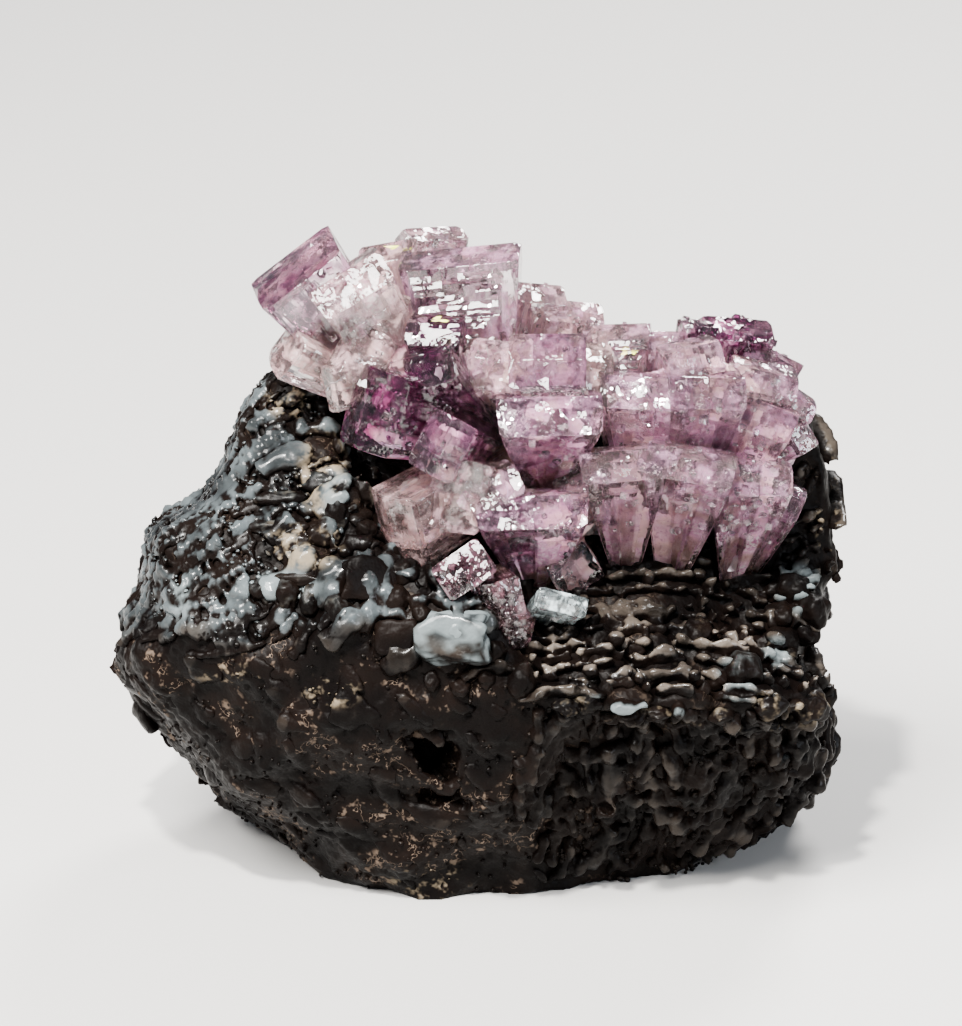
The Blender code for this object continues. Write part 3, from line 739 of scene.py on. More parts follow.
def scatterCrumbs(name, crumb, ground):
    draw = random.Random(crumb["seed"])
    spots, normals = ground.spots(crumb["count"] * 30, crumb["seed"])
    part = regions(spots + middlePoint, normals)
    gather = swell(spots, 1.7, crumb["seed"]) + 0.6 * swell(spots, 0.7, crumb["seed"] + 5)
    inside = ((part["across"] > crumb["across"][0]) & (part["across"] < crumb["across"][1])
              & (part["up"] > crumb["up"][0]) & (part["up"] < crumb["up"][1]))
    keep = np.nonzero((part[crumb["part"]] > 0.5) & inside & (gather > 0.12))[0][:crumb["count"]]
    shape, sides = ballShape(2)
    points, faces = [], []
    for count, i in enumerate(keep):
        size = draw.uniform(*crumb["radius"])
        if spots[i][2] < size + 0.1:
            continue
        stretch = np.array([draw.uniform(0.7, 1.3), draw.uniform(0.7, 1.3), draw.uniform(0.7, 1.3)])
        lump = shape * (1 + 0.38 * swell(shape + count * 3.1, 0.8, 9)[:, None]) * stretch * size
        faces.append(sides + len(points) * len(shape))
        out = normals[i] * size * draw.uniform(0.2, 0.9) + normals[i] * crumb["rise"]
        points.append(lump + spots[i] + out)
    mesh, places, normals, part = lumpMesh(name, points, faces)
    # crumbs get more crest tone and painted highlight on their upper sides, where the light falls: painted
    # light
    finishFields(mesh, places, part, np.clip(normals[:, 2] * 0.6 + 0.5, 0, 1))
    mesh.transform(Matrix.Scale(mm, 4))
    piece = newPiece(name, mesh, stoneLook(name))
    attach(piece, "root")
    print(name, "has", len(mesh.polygons), "triangles")


for crumbName, crumb in crumbs.items():
    scatterCrumbs(crumbName, crumb, ground)


# Lumps that stand out singly: tone (tan, pale, and crest, which is crest tone with a painted highlight),
# then across, up, half width, half height and how far they stand out
boulders = {
    "block": ((0.0, 0.95, 1.05), [(-1.6, 13.5, 1.9, 1.35, 0.50)]),
    "drapedLobes": ((0.1, 0.4, 0.6), [
        (-12.6, 16.2, 0.75, 0.9, 0.6), (-11.2, 15.9, 0.8, 1.1, 0.7), (-9.6, 15.6, 0.8, 1.0, 0.7),
        (-8.2, 15.1, 0.75, 0.9, 0.6), (-7.0, 14.6, 0.6, 0.8, 0.5), (-10.4, 16.8, 1.6, 0.5, 0.5)]),
    "tongues": ((0.15, 0.45, 0.6), [
        (-10.6, 23.8, 1.5, 0.6, 0.45), (-9.2, 22.3, 1.3, 0.7, 0.5), (-8.3, 20.7, 0.8, 1.2, 0.5),
        (-11.6, 21.4, 1.5, 0.5, 0.4), (-12.4, 19.8, 1.4, 0.5, 0.4), (-7.9, 24.6, 0.7, 0.7, 0.4)]),
    "tanPatch": ((0.9, 0.0, 0.7), [(-10.6, 18.9, 1.5, 0.8, 0.35), (-9.0, 19.2, 1.0, 0.7, 0.35)]),
    "facets": ((0.0, 0.0, 0.25), [(-6.4, 16.8, 1.5, 1.2, 0.4), (-4.9, 13.4, 1.2, 1.0, 0.4)]),
    "rimLumps": ((0.0, 0.05, 0.5), [
        (-4.4, 17.2, 0.9, 0.8, 0.6), (-3.2, 18.0, 0.8, 0.6, 0.6), (-4.9, 15.6, 0.9, 0.9, 0.6),
        (-5.6, 18.9, 0.7, 0.7, 0.5), (-6.6, 19.6, 0.7, 0.6, 0.5), (-2.2, 16.4, 0.7, 0.6, 0.6),
        (-3.4, 14.8, 0.6, 0.7, 0.6), (0.9, 12.6, 0.6, 0.7, 0.6)]),
    "pebbles": ((0.0, 0.0, 0.45), [
        (-2.8, 11.0, 0.5, 0.6, 0.5), (-1.2, 10.6, 0.6, 0.5, 0.5), (0.3, 11.1, 0.5, 0.6, 0.5),
        (-0.4, 11.6, 0.4, 0.4, 0.4), (2.3, 11.0, 0.8, 1.0, 0.8)]),
    "shelfDomes": ((0.15, 0.1, 0.5), [
        (12.6, 13.6, 1.0, 1.0, 0.8), (11.0, 12.1, 0.8, 0.5, 0.5), (13.6, 11.0, 0.8, 0.7, 0.6),
        (8.8, 12.6, 0.8, 0.6, 0.5), (17.0, 12.9, 0.5, 0.5, 0.5), (17.9, 12.3, 0.6, 0.5, 0.5)]),
    "greyBall": ((0.0, 0.4, 0.65), [(15.1, 11.5, 1.15, 1.15, 1.0), (17.4, 6.1, 0.6, 0.6, 0.6)]),
    "tanBlocks": ((0.8, 0.0, 0.7), [(16.6, 9.5, 1.1, 0.8, 0.7), (19.0, 9.3, 1.3, 1.0, 0.7)]),
    "knob": ((0.0, 0.12, 0.52), [
        (18.3, 16.0, 1.2, 1.1, 1.1), (19.4, 14.9, 1.0, 1.0, 1.0), (17.6, 14.6, 1.0, 0.9, 0.9),
        (18.9, 13.6, 0.9, 0.8, 0.8), (20.0, 13.5, 0.7, 0.7, 0.7), (17.2, 15.9, 0.7, 0.7, 0.7)]),
    "lip": ((0.45, 0.05, 0.65), [
        (4.9 + 1.28 * k, 9.6 - 0.12 * k + 0.25 * math.sin(k * 2.1),
         0.85, 0.50 + 0.12 * math.sin(k * 1.3), 0.75)
        for k in range(11)]),
    "darkOnes": ((0.0, 0.0, 0.3), [(14.8, 7.2, 0.5, 0.8, 0.4), (10.4, 6.0, 0.5, 0.9, 0.4)]),
}


def makeBoulders(ground):
    shape, sides = ballShape(4)
    away = Vector((0, sightCos, -sightSin))
    points, faces, tones = [], [], []
    for kind, (tone, lumps) in boulders.items():
        for across, up, wide, high, out in lumps:
            start = seen(across, up, -40) / mm
            spot, normal, _, _ = ground.tree.ray_cast(start, away)
            if spot is None:
                continue
            normal = (normal - away).normalized()
            side = Vector((1, 0, 0))
            rise = normal.cross(side).normalized()
            side = rise.cross(normal)
            turn = np.array((side, rise, normal))
            uneven = 1 + 0.24 * layeredSwell(shape + len(points) * 2.7, 0.9, 2, 17)[:, None]
            flat = np.clip(shape * 1.18, -0.86, 0.86) / 0.86 if kind in ("block", "facets") else shape
            lump = flat * uneven * np.array((wide, high, out * 1.2))
            faces.append(sides + len(points) * len(shape))
            points.append(lump @ turn + np.array(spot))
            tones.append(np.tile(tone, (len(shape), 1)))
    mesh, places, normals, part = lumpMesh("single_lumps", points, faces)
    tones = np.concatenate(tones)
    # the crest tone and its painted highlight are made stronger on the side that faces the key lamp: painted
    # light
    light = np.array((-0.25, -0.45, 0.85))
    finishFields(mesh, places, part, tones[:, 2] * (0.65 + 0.35 * (normals @ light)))
    for column, name in enumerate(("tan", "pale")):
        worn = ease(layeredSwell(places, 0.9, 3, 91 + column), -0.45, 0.25)
        mesh.attributes[name].data.foreach_set("value", (tones[:, column] * worn).astype(np.float32))
    mesh.transform(Matrix.Scale(mm, 4))
    piece = newPiece("single_lumps", mesh, stoneLook("singleLumps"))
    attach(piece, "root")
    print("single lumps:", len(mesh.polygons), "triangles")


makeBoulders(ground)


# The crystals
crystals = {
    # how much fuller than its own width and thickness each is cut, and the width of its bevels
    "fullness": 1.1, "edge": 0.028,
    # crystals with less than this share of their width left at the root get no offshoots
    "pointed": 0.25,
    # growth steps: from, to along the crystal, then left and right as shares of its width
    "stairs": {"crown": (0.45, 0.93, -0.42, 0.20), "rowLeft": (0.55, 0.95, -0.10, 0.30),
               "pinkPanel": (0.30, 0.95, -0.35, 0.35)},
    "stepTall": (0.16, 0.40), "stepWide": (0.10, 0.30), "stepShare": 0.72,
    # crystals with a crust of more small blocks than the others
    "crusts": {"peak": 60, "longWedgeC": 56, "longWedgeB": 28, "rightFrontA": 28, "rightFrontB": 28,
               "rightFrontC": 34, "deepViolet": 34, "lowWedge": 24},
    # crust blocks: where along the crystal, how far to its sides, and their size
    "crustAlong": (0.55, 0.97), "crustAcross": 0.42, "crustSize": (0.14, 0.42),
    # slimmer crystals that grow parallel, on a large one: width, thickness, length, how far they stand out
    "proud": {"wide": (0.35, 0.70), "thick": (0.80, 0.98), "long": (0.86, 0.99), "out": (0.03, 0.14)},
    # the clouded bundle inside: width, thickness, length, and the room that it fills
    "heart": {"wide": (0.14, 0.34), "thick": (0.20, 0.42), "long": (0.55, 0.93), "room": 0.80},
    "offshoot": {"lean": (6, 22), "size": (0.35, 0.60), "long": (0.50, 0.80), "share": 0.45},
    # crystals between neighbours: length, width, how far back they stand, and the share of clear ones
    "filler": {"long": (0.74, 0.90), "wide": (0.45, 0.70), "back": 0.7, "clear": 0.15},
}
# name, root and tip (across, up, depth), width, thickness, share of the width left at the root, roll,
# front and back slope of the end, violet and cloud
mainGrowth = [
    ("farLeft", (-5.0, 28.0, 1.4), (-10.9, 35.0, -0.6), 5.2, 3.8, 0.55, 6, 12, 8, 0.85, 0.15),
    ("farLeftLow", (-4.8, 27.2, 0.8), (-11.5, 30.3, -1.6), 2.7, 2.8, 0.60, -10, 20, 12, 0.15, 0.60),
    ("leftPale", (-3.6, 27.0, 0.6), (-7.9, 34.4, -2.2), 4.4, 3.6, 0.50, 14, 30, 20, 0.20, 0.65),
    ("leftBlade", (-2.6, 29.4, -0.8), (-9.0, 27.7, -3.0), 2.5, 1.6, 0.60, 8, 25, 20, 0.05, 0.60),
    ("leftKnot", (-4.0, 27.5, 0.5), (-7.4, 30.0, -3.4), 3.2, 3.0, 0.60, 30, 35, 15, 0.20, 0.70),
    ("crestLeft", (-3.6, 29.0, 3.0), (-5.5, 36.4, 3.6), 3.2, 2.6, 0.60, -15, 30, 25, 0.30, 0.45),
    ("crestDark", (-3.0, 29.0, 4.0), (-2.9, 37.4, 5.4), 3.3, 3.0, 0.60, 25, 20, 30, 0.35, 0.25),
    ("crown", (0.4, 24.0, 1.6), (-1.2, 36.0, 1.2), 6.5, 4.4, 0.42, -4, 8, 38, 0.55, 0.45),
    ("crownSide", (1.6, 26.0, 2.6), (3.4, 34.0, 2.6), 2.8, 2.8, 0.60, 20, 25, 30, 0.25, 0.50),
    ("maroonCap", (-1.6, 25.0, 0.4), (-2.7, 31.5, -3.4), 3.0, 2.6, 0.50, -12, 20, 25, 0.85, 0.15),
    ("deepViolet", (1.0, 25.6, 0.6), (-6.7, 26.6, -5.0), 4.4, 3.8, 0.80, 12, 30, 10, 1.00, 0.10),
    ("deepVioletTop", (0.6, 25.4, 0.6), (-3.6, 29.6, -4.4), 3.8, 3.2, 0.60, -20, 30, 20, 0.95, 0.12),
    ("smallViolet", (0.6, 23.8, 1.0), (-2.4, 24.5, -6.6), 3.3, 2.7, 0.60, 25, 25, 15, 0.80, 0.25),
    ("lowLeftClear", (1.6, 23.6, 0.4), (-5.2, 19.4, -6.0), 4.4, 3.4, 0.75, -10, 15, 20, 0.15, 0.45),
    ("lowLeftEdge", (1.0, 22.6, 0.4), (-1.6, 21.6, -6.8), 4.0, 3.2, 0.55, 20, 30, 20, 0.25, 0.50),
    ("lowWedge", (3.2, 15.6, -1.6), (2.9, 21.6, -6.2), 6.0, 4.0, 0.14, 0, 14, 40, 0.75, 0.35),
    ("lowWedgeLeft", (1.6, 18.0, -1.0), (0.4, 22.6, -5.8), 3.2, 3.0, 0.40, 18, 20, 35, 0.40, 0.45),
    ("heart", (3.7, 21.6, -0.4), (3.9, 27.2, -5.2), 5.7, 4.4, 0.20, 4, 16, 38, 0.70, 0.45),
    ("pinkPanel", (4.2, 27.0, 2.4), (3.8, 29.4, -4.2), 4.1, 3.2, 0.65, -4, 12, 15, 0.75, 0.40),
    ("pinkPanelSide", (5.4, 26.2, 1.8), (6.5, 29.3, -2.8), 2.2, 3.0, 0.65, 10, 20, 20, 0.15, 0.60),
    ("whiteCore", (1.8, 26.0, 1.4), (0.9, 29.4, -3.6), 3.2, 3.0, 0.60, -18, 28, 20, 0.30, 0.65),
    ("behindCrown", (4.0, 25.6, 2.6), (5.3, 33.0, 2.6), 3.4, 3.2, 0.55, 12, 25, 30, 0.35, 0.55),
    ("rowLeft", (8.6, 24.0, 2.2), (7.9, 31.6, 0.8), 3.6, 3.2, 0.55, -6, 14, 32, 0.40, 0.50),
    ("rowMiddle", (10.4, 24.0, 2.2), (11.0, 31.2, 1.2), 3.2, 3.0, 0.55, 8, 18, 30, 0.45, 0.45),
    ("rowRound", (11.6, 23.6, 1.6), (12.2, 30.2, -2.2), 3.2, 2.9, 0.55, 22, 32, 28, 0.40, 0.45),
    ("peak", (13.4, 24.4, 2.6), (15.0, 32.0, 2.2), 3.8, 3.4, 0.55, 16, 22, 34, 0.95, 0.12),
    ("peakRight", (14.4, 23.8, 2.0), (17.3, 30.0, 1.0), 3.2, 3.2, 0.60, -12, 24, 28, 0.70, 0.20),
    ("bars", (14.2, 23.4, 1.4), (16.6, 28.8, -1.8), 3.6, 3.0, 0.60, 10, 28, 22, 0.45, 0.50),
    ("rightFrontA", (9.4, 21.6, 0.6), (9.5, 28.4, -3.6), 4.8, 3.8, 0.38, -4, 18, 36, 0.60, 0.45),
    ("rightFrontB", (11.8, 21.6, 0.6), (13.0, 28.4, -3.8), 4.2, 3.6, 0.42, 8, 20, 34, 0.65, 0.40),
    ("rightFrontC", (13.8, 21.0, 0.6), (16.3, 27.0, -3.0), 4.2, 3.6, 0.42, -8, 22, 32, 0.70, 0.40),
    ("longWedgeA", (8.5, 15.9, -0.8), (8.1, 24.2, -5.6), 4.6, 3.8, 0.14, 3, 16, 36, 0.45, 0.40),
    ("longWedgeB", (11.0, 15.9, -0.6), (12.2, 24.2, -5.6), 4.8, 3.8, 0.20, -6, 18, 36, 0.55, 0.50),
    ("longWedgeC", (14.6, 15.9, -0.4), (15.6, 23.4, -4.8), 4.4, 3.6, 0.22, 8, 20, 34, 0.60, 0.50),
    ("longWedgeD", (15.8, 17.4, 0.0), (17.4, 22.0, -3.4), 2.9, 3.0, 0.40, -10, 24, 28, 0.60, 0.40),
    ("smallDark", (5.8, 18.6, 0.4), (5.4, 17.2, -5.0), 2.6, 2.4, 0.50, 30, 20, 20, 0.30, 0.10),
    ("betweenWedges", (6.6, 20.0, 0.4), (6.0, 22.0, -4.6), 3.0, 2.8, 0.50, 15, 28, 22, 0.35, 0.25),
    ("endHigh", (15.4, 24.6, 1.6), (18.8, 27.2, -0.8), 1.9, 1.8, 0.80, 12, 25, 20, 0.50, 0.55),
    ("endLow", (15.4, 23.4, 1.2), (19.0, 25.3, -1.2), 1.8, 1.7, 0.80, -15, 28, 18, 0.50, 0.55),
    ("nubLeft", (11.6, 28.6, 1.6), (12.2, 31.9, 1.4), 1.1, 1.1, 0.70, 20, 25, 25, 0.95, 0.10),
    ("nubRight", (12.6, 28.4, 1.2), (13.3, 31.5, 0.8), 1.0, 1.0, 0.70, -10, 25, 25, 0.95, 0.10),
    ("backA", (-4.0, 27.0, 3.0), (-6.6, 33.6, 7.0), 4.4, 3.8, 0.55, 20, 30, 25, 0.45, 0.40),
    ("backB", (0.0, 26.0, 3.2), (-0.4, 34.6, 7.4), 4.8, 4.0, 0.50, -12, 35, 20, 0.55, 0.40),
    ("backC", (4.4, 25.0, 3.2), (4.2, 31.6, 8.0), 4.4, 4.0, 0.50, 10, 35, 22, 0.50, 0.45),
    ("backD", (9.4, 24.0, 3.2), (9.2, 30.4, 8.0), 4.6, 4.0, 0.50, -16, 32, 24, 0.60, 0.40),
    ("backE", (13.6, 24.0, 3.2), (14.6, 30.0, 7.2), 4.2, 3.8, 0.50, 12, 30, 24, 0.65, 0.35),
]
rimGrowth = [
    ("rimA", (-0.6, 17.0, -5.2), (-1.0, 17.4, -9.4), 3.0, 2.2, 0.60, 24, -22, 10, 0.60, 0.40),
    ("rimB", (0.2, 16.4, -5.0), (1.2, 15.4, -9.6), 2.4, 2.6, 0.80, -20, 25, 20, 0.40, 0.60),
    ("rimC", (0.6, 15.8, -5.0), (2.0, 13.6, -9.6), 1.8, 2.2, 0.90, 15, 25, 20, 0.35, 0.60),
]
bladeGrowth = [
    ("blade", (3.6, 14.4, -4.4), (4.7, 15.5, -9.0), 2.7, 1.1, 0.80, 6, 20, 10, 0.0, 0.85),
]


def facePlanes(width, thickness, length, share, front, back):
    # each face is a point and the way out: foot, four sides, four corners, and the end's slopes
    halfWide, halfThick = width / 2, thickness / 2
    flareWide = halfWide * (1 - share) / length
    flareThick = halfThick * (1 - share) / length
    corner, shoulder = 0.92, 0.88
    top = Vector((0, 0, length))
    planes = [(Vector((0, 0, 0)), Vector((0, 0, -1)))]
    for side in (-1, 1):
        planes.append((Vector((side * halfWide, 0, length)), Vector((side, 0, -flareWide))))
        planes.append((Vector((0, side * halfThick, length)), Vector((0, side, -flareThick))))
        for way in (-1, 1):
            edge = Vector((side * halfWide * corner, way * halfThick * corner, length))
            planes.append((edge, Vector((side * thickness, way * width, -flareWide * thickness))))
    for slope, way in ((front, -1), (back, 1)):
        tilt = math.radians(slope)
        planes.append((top, Vector((0, way * math.sin(tilt), math.cos(tilt)))))
    for side in (-1, 1):
        planes.append((top + Vector((side * halfWide * shoulder, 0, 0)), Vector((side * 0.55, 0, 0.83))))
    return [(point, normal.normalized()) for point, normal in planes]


def standing(start, end, roll):
    axis = (end - start).normalized()
    sideways = Vector((0, 1, 0)).cross(axis)
    if sideways.length < 0.2:
        sideways = Vector((1, 0, 0))
    sideways.normalize()
    behind = axis.cross(sideways).normalized()
    if behind.y < 0:
        sideways, behind = -sideways, -behind
    turn = Matrix((sideways, behind, axis)).transposed().to_4x4()
    return Matrix.Translation(start) @ turn @ Matrix.Rotation(math.radians(roll), 4, "Z")


def standAt(root, tip, roll):
    start, end = seen(*root) / mm, seen(*tip) / mm
    return standing(start, end, roll), (end - start).length


def cutCrystal(planes):
    bm = bmesh.new()
    bmesh.ops.create_cube(bm, size=60.0)
    for point, normal in planes:
        everything = bm.verts[:] + bm.edges[:] + bm.faces[:]
        bmesh.ops.bisect_plane(bm, geom=everything, dist=1e-6, plane_co=point,
                               plane_no=normal, clear_outer=True)
        rim = [edge for edge in bm.edges if edge.is_boundary]
        if rim:
            bmesh.ops.contextual_create(bm, geom=rim)
    bmesh.ops.recalc_face_normals(bm, faces=bm.faces)
    return bm


class Spray:
    # gathers closed crystals into one mesh, with the fields that their look reads
    def __init__(self):
        self.whole = bmesh.new()
        self.fields = {"along": [], "violet": [], "cloud": []}
        self.grain = []

    def note(self, made, **values):
        self.grain.extend(tuple(vert.co) for vert in made)
        for field, value in values.items():
            self.fields[field].extend([value] * len(made))

    def block(self, place, along, violet, cloud):
        # one small rough block of a crust
        made = bmesh.ops.create_cube(self.whole, size=1.0, matrix=place)["verts"]
        self.note(made, along=along, violet=violet, cloud=cloud)

    def step(self, place, wide, low, high, out):
        # a narrow growth step: a closed wedge whose upper face leans to the light
        corners = [(side * wide / 2, y, z) for side in (-1, 1)
                   for y, z in ((0.25, low), (0.25, high), (0.0, high), (-out, low))]
        made = [self.whole.verts.new(place @ Vector(corner)) for corner in corners]
        for face in ((3, 2, 1, 0), (4, 5, 6, 7), (1, 5, 4, 0), (2, 6, 5, 1), (3, 7, 6, 2), (0, 4, 7, 3)):
            self.whole.faces.new([made[k] for k in face])
        self.note(made, along=0.6, violet=0.2, cloud=0.1)

    def add(self, place, width, thickness, length, share, front, back, violet, cloud):
        bm = cutCrystal(facePlanes(width, thickness, length, share, front, back))
        if bm.verts:
            bmesh.ops.bevel(bm, geom=bm.edges[:], offset=crystals["edge"], segments=1,
                            affect="EDGES", clamp_overlap=True)
            shift = len(self.grain) * 0.37 % 50
            for vert in bm.verts:
                self.grain.append((vert.co.x + shift, vert.co.y + shift, vert.co.z))
                self.fields["along"].append(vert.co.z / length)
                self.fields["violet"].append(violet)
                self.fields["cloud"].append(cloud)
            bmesh.ops.transform(bm, matrix=place, verts=bm.verts)
            mesh = bpy.data.meshes.new("crystal")
            bm.to_mesh(mesh)
            self.whole.from_mesh(mesh)
            bpy.data.meshes.remove(mesh)
        bm.free()

    def build(self, name, material, node, stands=True):
        mesh = bpy.data.meshes.new(name)
        bmesh.ops.transform(self.whole, matrix=Matrix.Scale(mm, 4), verts=self.whole.verts)
        self.whole.to_mesh(mesh)
        self.whole.free()
        for field, values in self.fields.items():
            storeField(mesh, field, values)
        grain = mesh.attributes.new("grain", "FLOAT_VECTOR", "POINT")
        grain.data.foreach_set("vector", np.array(self.grain, np.float32).ravel())
        piece = newPiece(name, mesh, material, smooth=False)
        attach(piece, "root")
        if stands:
            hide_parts(node)
        print(name, "has", len(mesh.polygons), "faces")


def near(draw, value, spread):
    return min(1.0, max(0.0, value + draw.uniform(-spread, spread)))


def leanIn(place, aside, deep, share, length):
    # moves a crystal within its bundle: the bundle is narrower at the root than at the tip
    own = place @ Matrix.Translation((aside * share, deep * share, 0))
    own = own @ Matrix.Rotation(aside * (1 - share) / length, 4, "Y")
    return own @ Matrix.Rotation(-deep * (1 - share) / length, 4, "X")


def crust(spray, shaft, front, back, count, ends, violet, draw):
    # small blocks sunk in the upper front and the end of a crystal
    place, width, thickness, length, share = shaft
    most = crystals["crustAcross"]
    for k in range(count):
        along = draw.uniform(*crystals["crustAlong"]) * length
        narrow = share + (1 - share) * along / length
        across = min(most, max(-most, draw.gauss(0, 0.24))) * width * narrow
        deep = -0.5 * thickness * narrow
        if k % ends == 0:
            # on the end, which slopes to the front and to the back
            deep = draw.uniform(-0.42, 0.25) * thickness
            along = length - math.tan(math.radians(front if deep < 0 else back)) * abs(deep)
        size = draw.uniform(*crystals["crustSize"])
        turn = Matrix.Rotation(draw.uniform(0, 3), 4, "X") @ Matrix.Rotation(draw.uniform(0, 3), 4, "Z")
        shape = Matrix.Diagonal((size, size * draw.uniform(0.6, 1.2), size * draw.uniform(0.6, 1.6), 1))
        spot = Matrix.Translation((across, deep + 0.05, along - 0.12))
        spray.block(place @ spot @ turn @ shape, along / length, violet, 0.25)


def stairs(spray, shaft, spread, draw):
    # rows of growth steps on the front of a crystal
    place, width, thickness, length, share = shaft
    low, high, left, right = spread
    z = low * length
    while z < high * length:
        tall = draw.uniform(*crystals["stepTall"])
        half = 0.5 * (share + (1 - share) * z / length)
        x = left
        while x < right:
            wide = draw.uniform(*crystals["stepWide"])
            if draw.random() < crystals["stepShare"]:
                spot = Matrix.Translation(((x + wide / 2) * width * half * 2, -half * thickness, 0))
                lean = Matrix.Rotation(draw.uniform(-0.05, 0.05), 4, "Z")
                out = tall * draw.uniform(0.7, 0.95)
                spray.step(place @ spot @ lean, wide * width * half * 2, z, z + tall, out)
            x += wide
        z += tall * draw.uniform(1.0, 1.5)


def addProud(trim, shaft, front, back, violet, cloud, draw):
    # parallel growth: a slimmer clear crystal that stands a little proud of the large one
    place, width, thickness, length, share = shaft
    size = crystals["proud"]
    slim = width * draw.uniform(*size["wide"])
    aside = draw.uniform(-0.5, 0.5) * (width - slim)
    deep = draw.uniform(*size["out"]) * draw.choice((-1, -1, 1))
    trim.add(leanIn(place, aside, deep, share, length), slim, thickness * draw.uniform(*size["thick"]),
             length * draw.uniform(*size["long"]), share, front + draw.uniform(-6, 10),
             back + draw.uniform(-6, 10), near(draw, violet, 0.2), near(draw, cloud, 0.15))


def addHeart(hearts, shaft, violet, cloud, draw):
    # one crystal of the clouded bundle that shows through the clear outside
    place, width, thickness, length, share = shaft
    size = crystals["heart"]
    slim, thick = width * draw.uniform(*size["wide"]), thickness * draw.uniform(*size["thick"])
    aside = draw.uniform(-0.5, 0.5) * (width * size["room"] - slim)
    deep = draw.uniform(-0.42, 0.5) * (thickness * size["room"] - thick)
    own = leanIn(place, aside, deep, share, length) @ Matrix.Rotation(draw.uniform(-0.5, 0.5), 4, "Z")
    hearts.add(own, slim, thick, length * draw.uniform(*size["long"]), share, draw.uniform(5, 35),
               draw.uniform(5, 35), near(draw, violet, 0.25), near(draw, cloud, 0.3))


def addOffshoot(trim, shaft, violet, cloud, draw):
    # a clear crystal that leans out of the foot of a large one
    place, width, thickness, length, _ = shaft
    shape = crystals["offshoot"]
    lean = math.radians(draw.uniform(*shape["lean"]))
    size = draw.uniform(*shape["size"])
    own = place @ Matrix.Rotation(draw.uniform(0, 6.28), 4, "Z") @ Matrix.Rotation(lean, 4, "X")
    trim.add(own, width * size, thickness * size, length * draw.uniform(*shape["long"]), shape["share"],
             draw.uniform(15, 35), draw.uniform(15, 35), near(draw, violet * 0.6, 0.2),
             near(draw, cloud, 0.2))


def addFiller(trim, hearts, first, second, draw):
    # a crystal between two neighbours, so that no gap runs down to the stone
    size = crystals["filler"]
    start = (seen(*first[1]) + seen(*second[1])) / 2 / mm
    end = (seen(*first[2]) + seen(*second[2])) / 2 / mm
    length = (end - start).length * draw.uniform(*size["long"])
    width = (first[3] + second[3]) / 2 * draw.uniform(*size["wide"])
    behind = Vector((0, size["back"], 0))
    own = standing(start + behind, end + behind, draw.uniform(-40, 40))
    chosen = trim if draw.random() < size["clear"] else hearts
    chosen.add(own, width, width * draw.uniform(0.6, 0.9), length, 0.3, draw.uniform(5, 35),
               draw.uniform(5, 35), near(draw, (first[9] + second[9]) * 0.4, 0.2), near(draw, 0.3, 0.3))


def growSpray(specs, seed, settings):
    draw = random.Random(seed)
    spray, trim, hearts = Spray(), Spray(), Spray()
    for name, root, tip, width, thickness, share, roll, front, back, violet, cloud in specs:
        place, length = standAt(root, tip, roll)
        shaft = place, width * crystals["fullness"], thickness * crystals["fullness"], length, share
        spray.add(*shaft, front, back, violet, cloud)
        count = crystals["crusts"].get(name, settings["crust"])
        crust(trim, shaft, front, back, count, settings["ends"], violet, draw)
        if name in crystals["stairs"]:
            stairs(trim, shaft, crystals["stairs"][name], draw)
        for _ in range(settings["proud"]):
            addProud(trim, shaft, front, back, violet, cloud, draw)
        for _ in range(round(settings["bundle"] * (0.5 + cloud))):
            addHeart(hearts, shaft, violet, cloud, draw)
        for _ in range(settings["offshoots"] if share > crystals["pointed"] else 0):
            addOffshoot(trim, shaft, violet, cloud, draw)
    for k, first in enumerate(specs):
        for second in specs[k + 1:]:
            apart = max(math.dist(first[1], second[1]), math.dist(first[2], second[2]))
            if apart <= settings["reach"] and min(first[5], second[5]) >= crystals["pointed"]:
                addFiller(trim, hearts, first, second, draw)
    return spray, trim, hearts


def crystalTones(look, shades):
    # violet gathers towards the tips, the feet stay pale and tan
    grain = look.attribute("grain", out="Vector")
    along, depth = look.attribute("along"), look.attribute("violet")
    patchy = look.noise(grain, 0.7, 1.0, 0.6)
    high = look.spread(along + (patchy - 0.5) * 0.8, 0.05, 0.75)
    zone = high * depth * look.spread(patchy, 0.32, 0.62, 0.40, 1.30)
    shade = look.mix(high, shades["foot"], shades["body"])
    shade = look.mix(look.spread(zone, 0.10, 0.70), shade, shades["bloom"])
    shade = look.mix(look.spread(zone, 0.70, 1.20), shade, shades["deep"])
    return grain, patchy, zone, shade


# how far the facets and the striations lean, and what the clear and the clouded crystal refract
optics = {"shellLean": (0.30, 0.12), "heartLean": (0.60, 0.30), "clearIor": 1.73, "cloudedIor": 1.6}


def leaningNormal(look, grain, patchy, lean, stria):
    # small facets that each lean their own way, with fine striations along the crystal
    shaken = look.make("VectorMath", {"operation": "ADD"}, {
        0: look.stretch(grain, (1.7, 1.7, 1.2)), 1: patchy * 3.0})
    total = look.make("NewGeometry", out=1)
    for place, amount in ((shaken, lean), (look.stretch(grain, (8.0, 8.0, 0.45)), stria)):
        cell = look.make("VectorMath", {"operation": "FLOOR"}, {0: place})
        chance = look.make("TexWhiteNoise", None, {"Vector": cell}, out=1)
        centred = look.make("VectorMath", {"operation": "SUBTRACT"}, {0: chance, 1: (0.5, 0.5, 0.5)})
        total = look.make("VectorMath", {"operation": "MULTIPLY_ADD"}, {
            0: centred, 1: (amount,) * 3, 2: total})
    return look.make("VectorMath", {"operation": "NORMALIZE"}, {0: total})


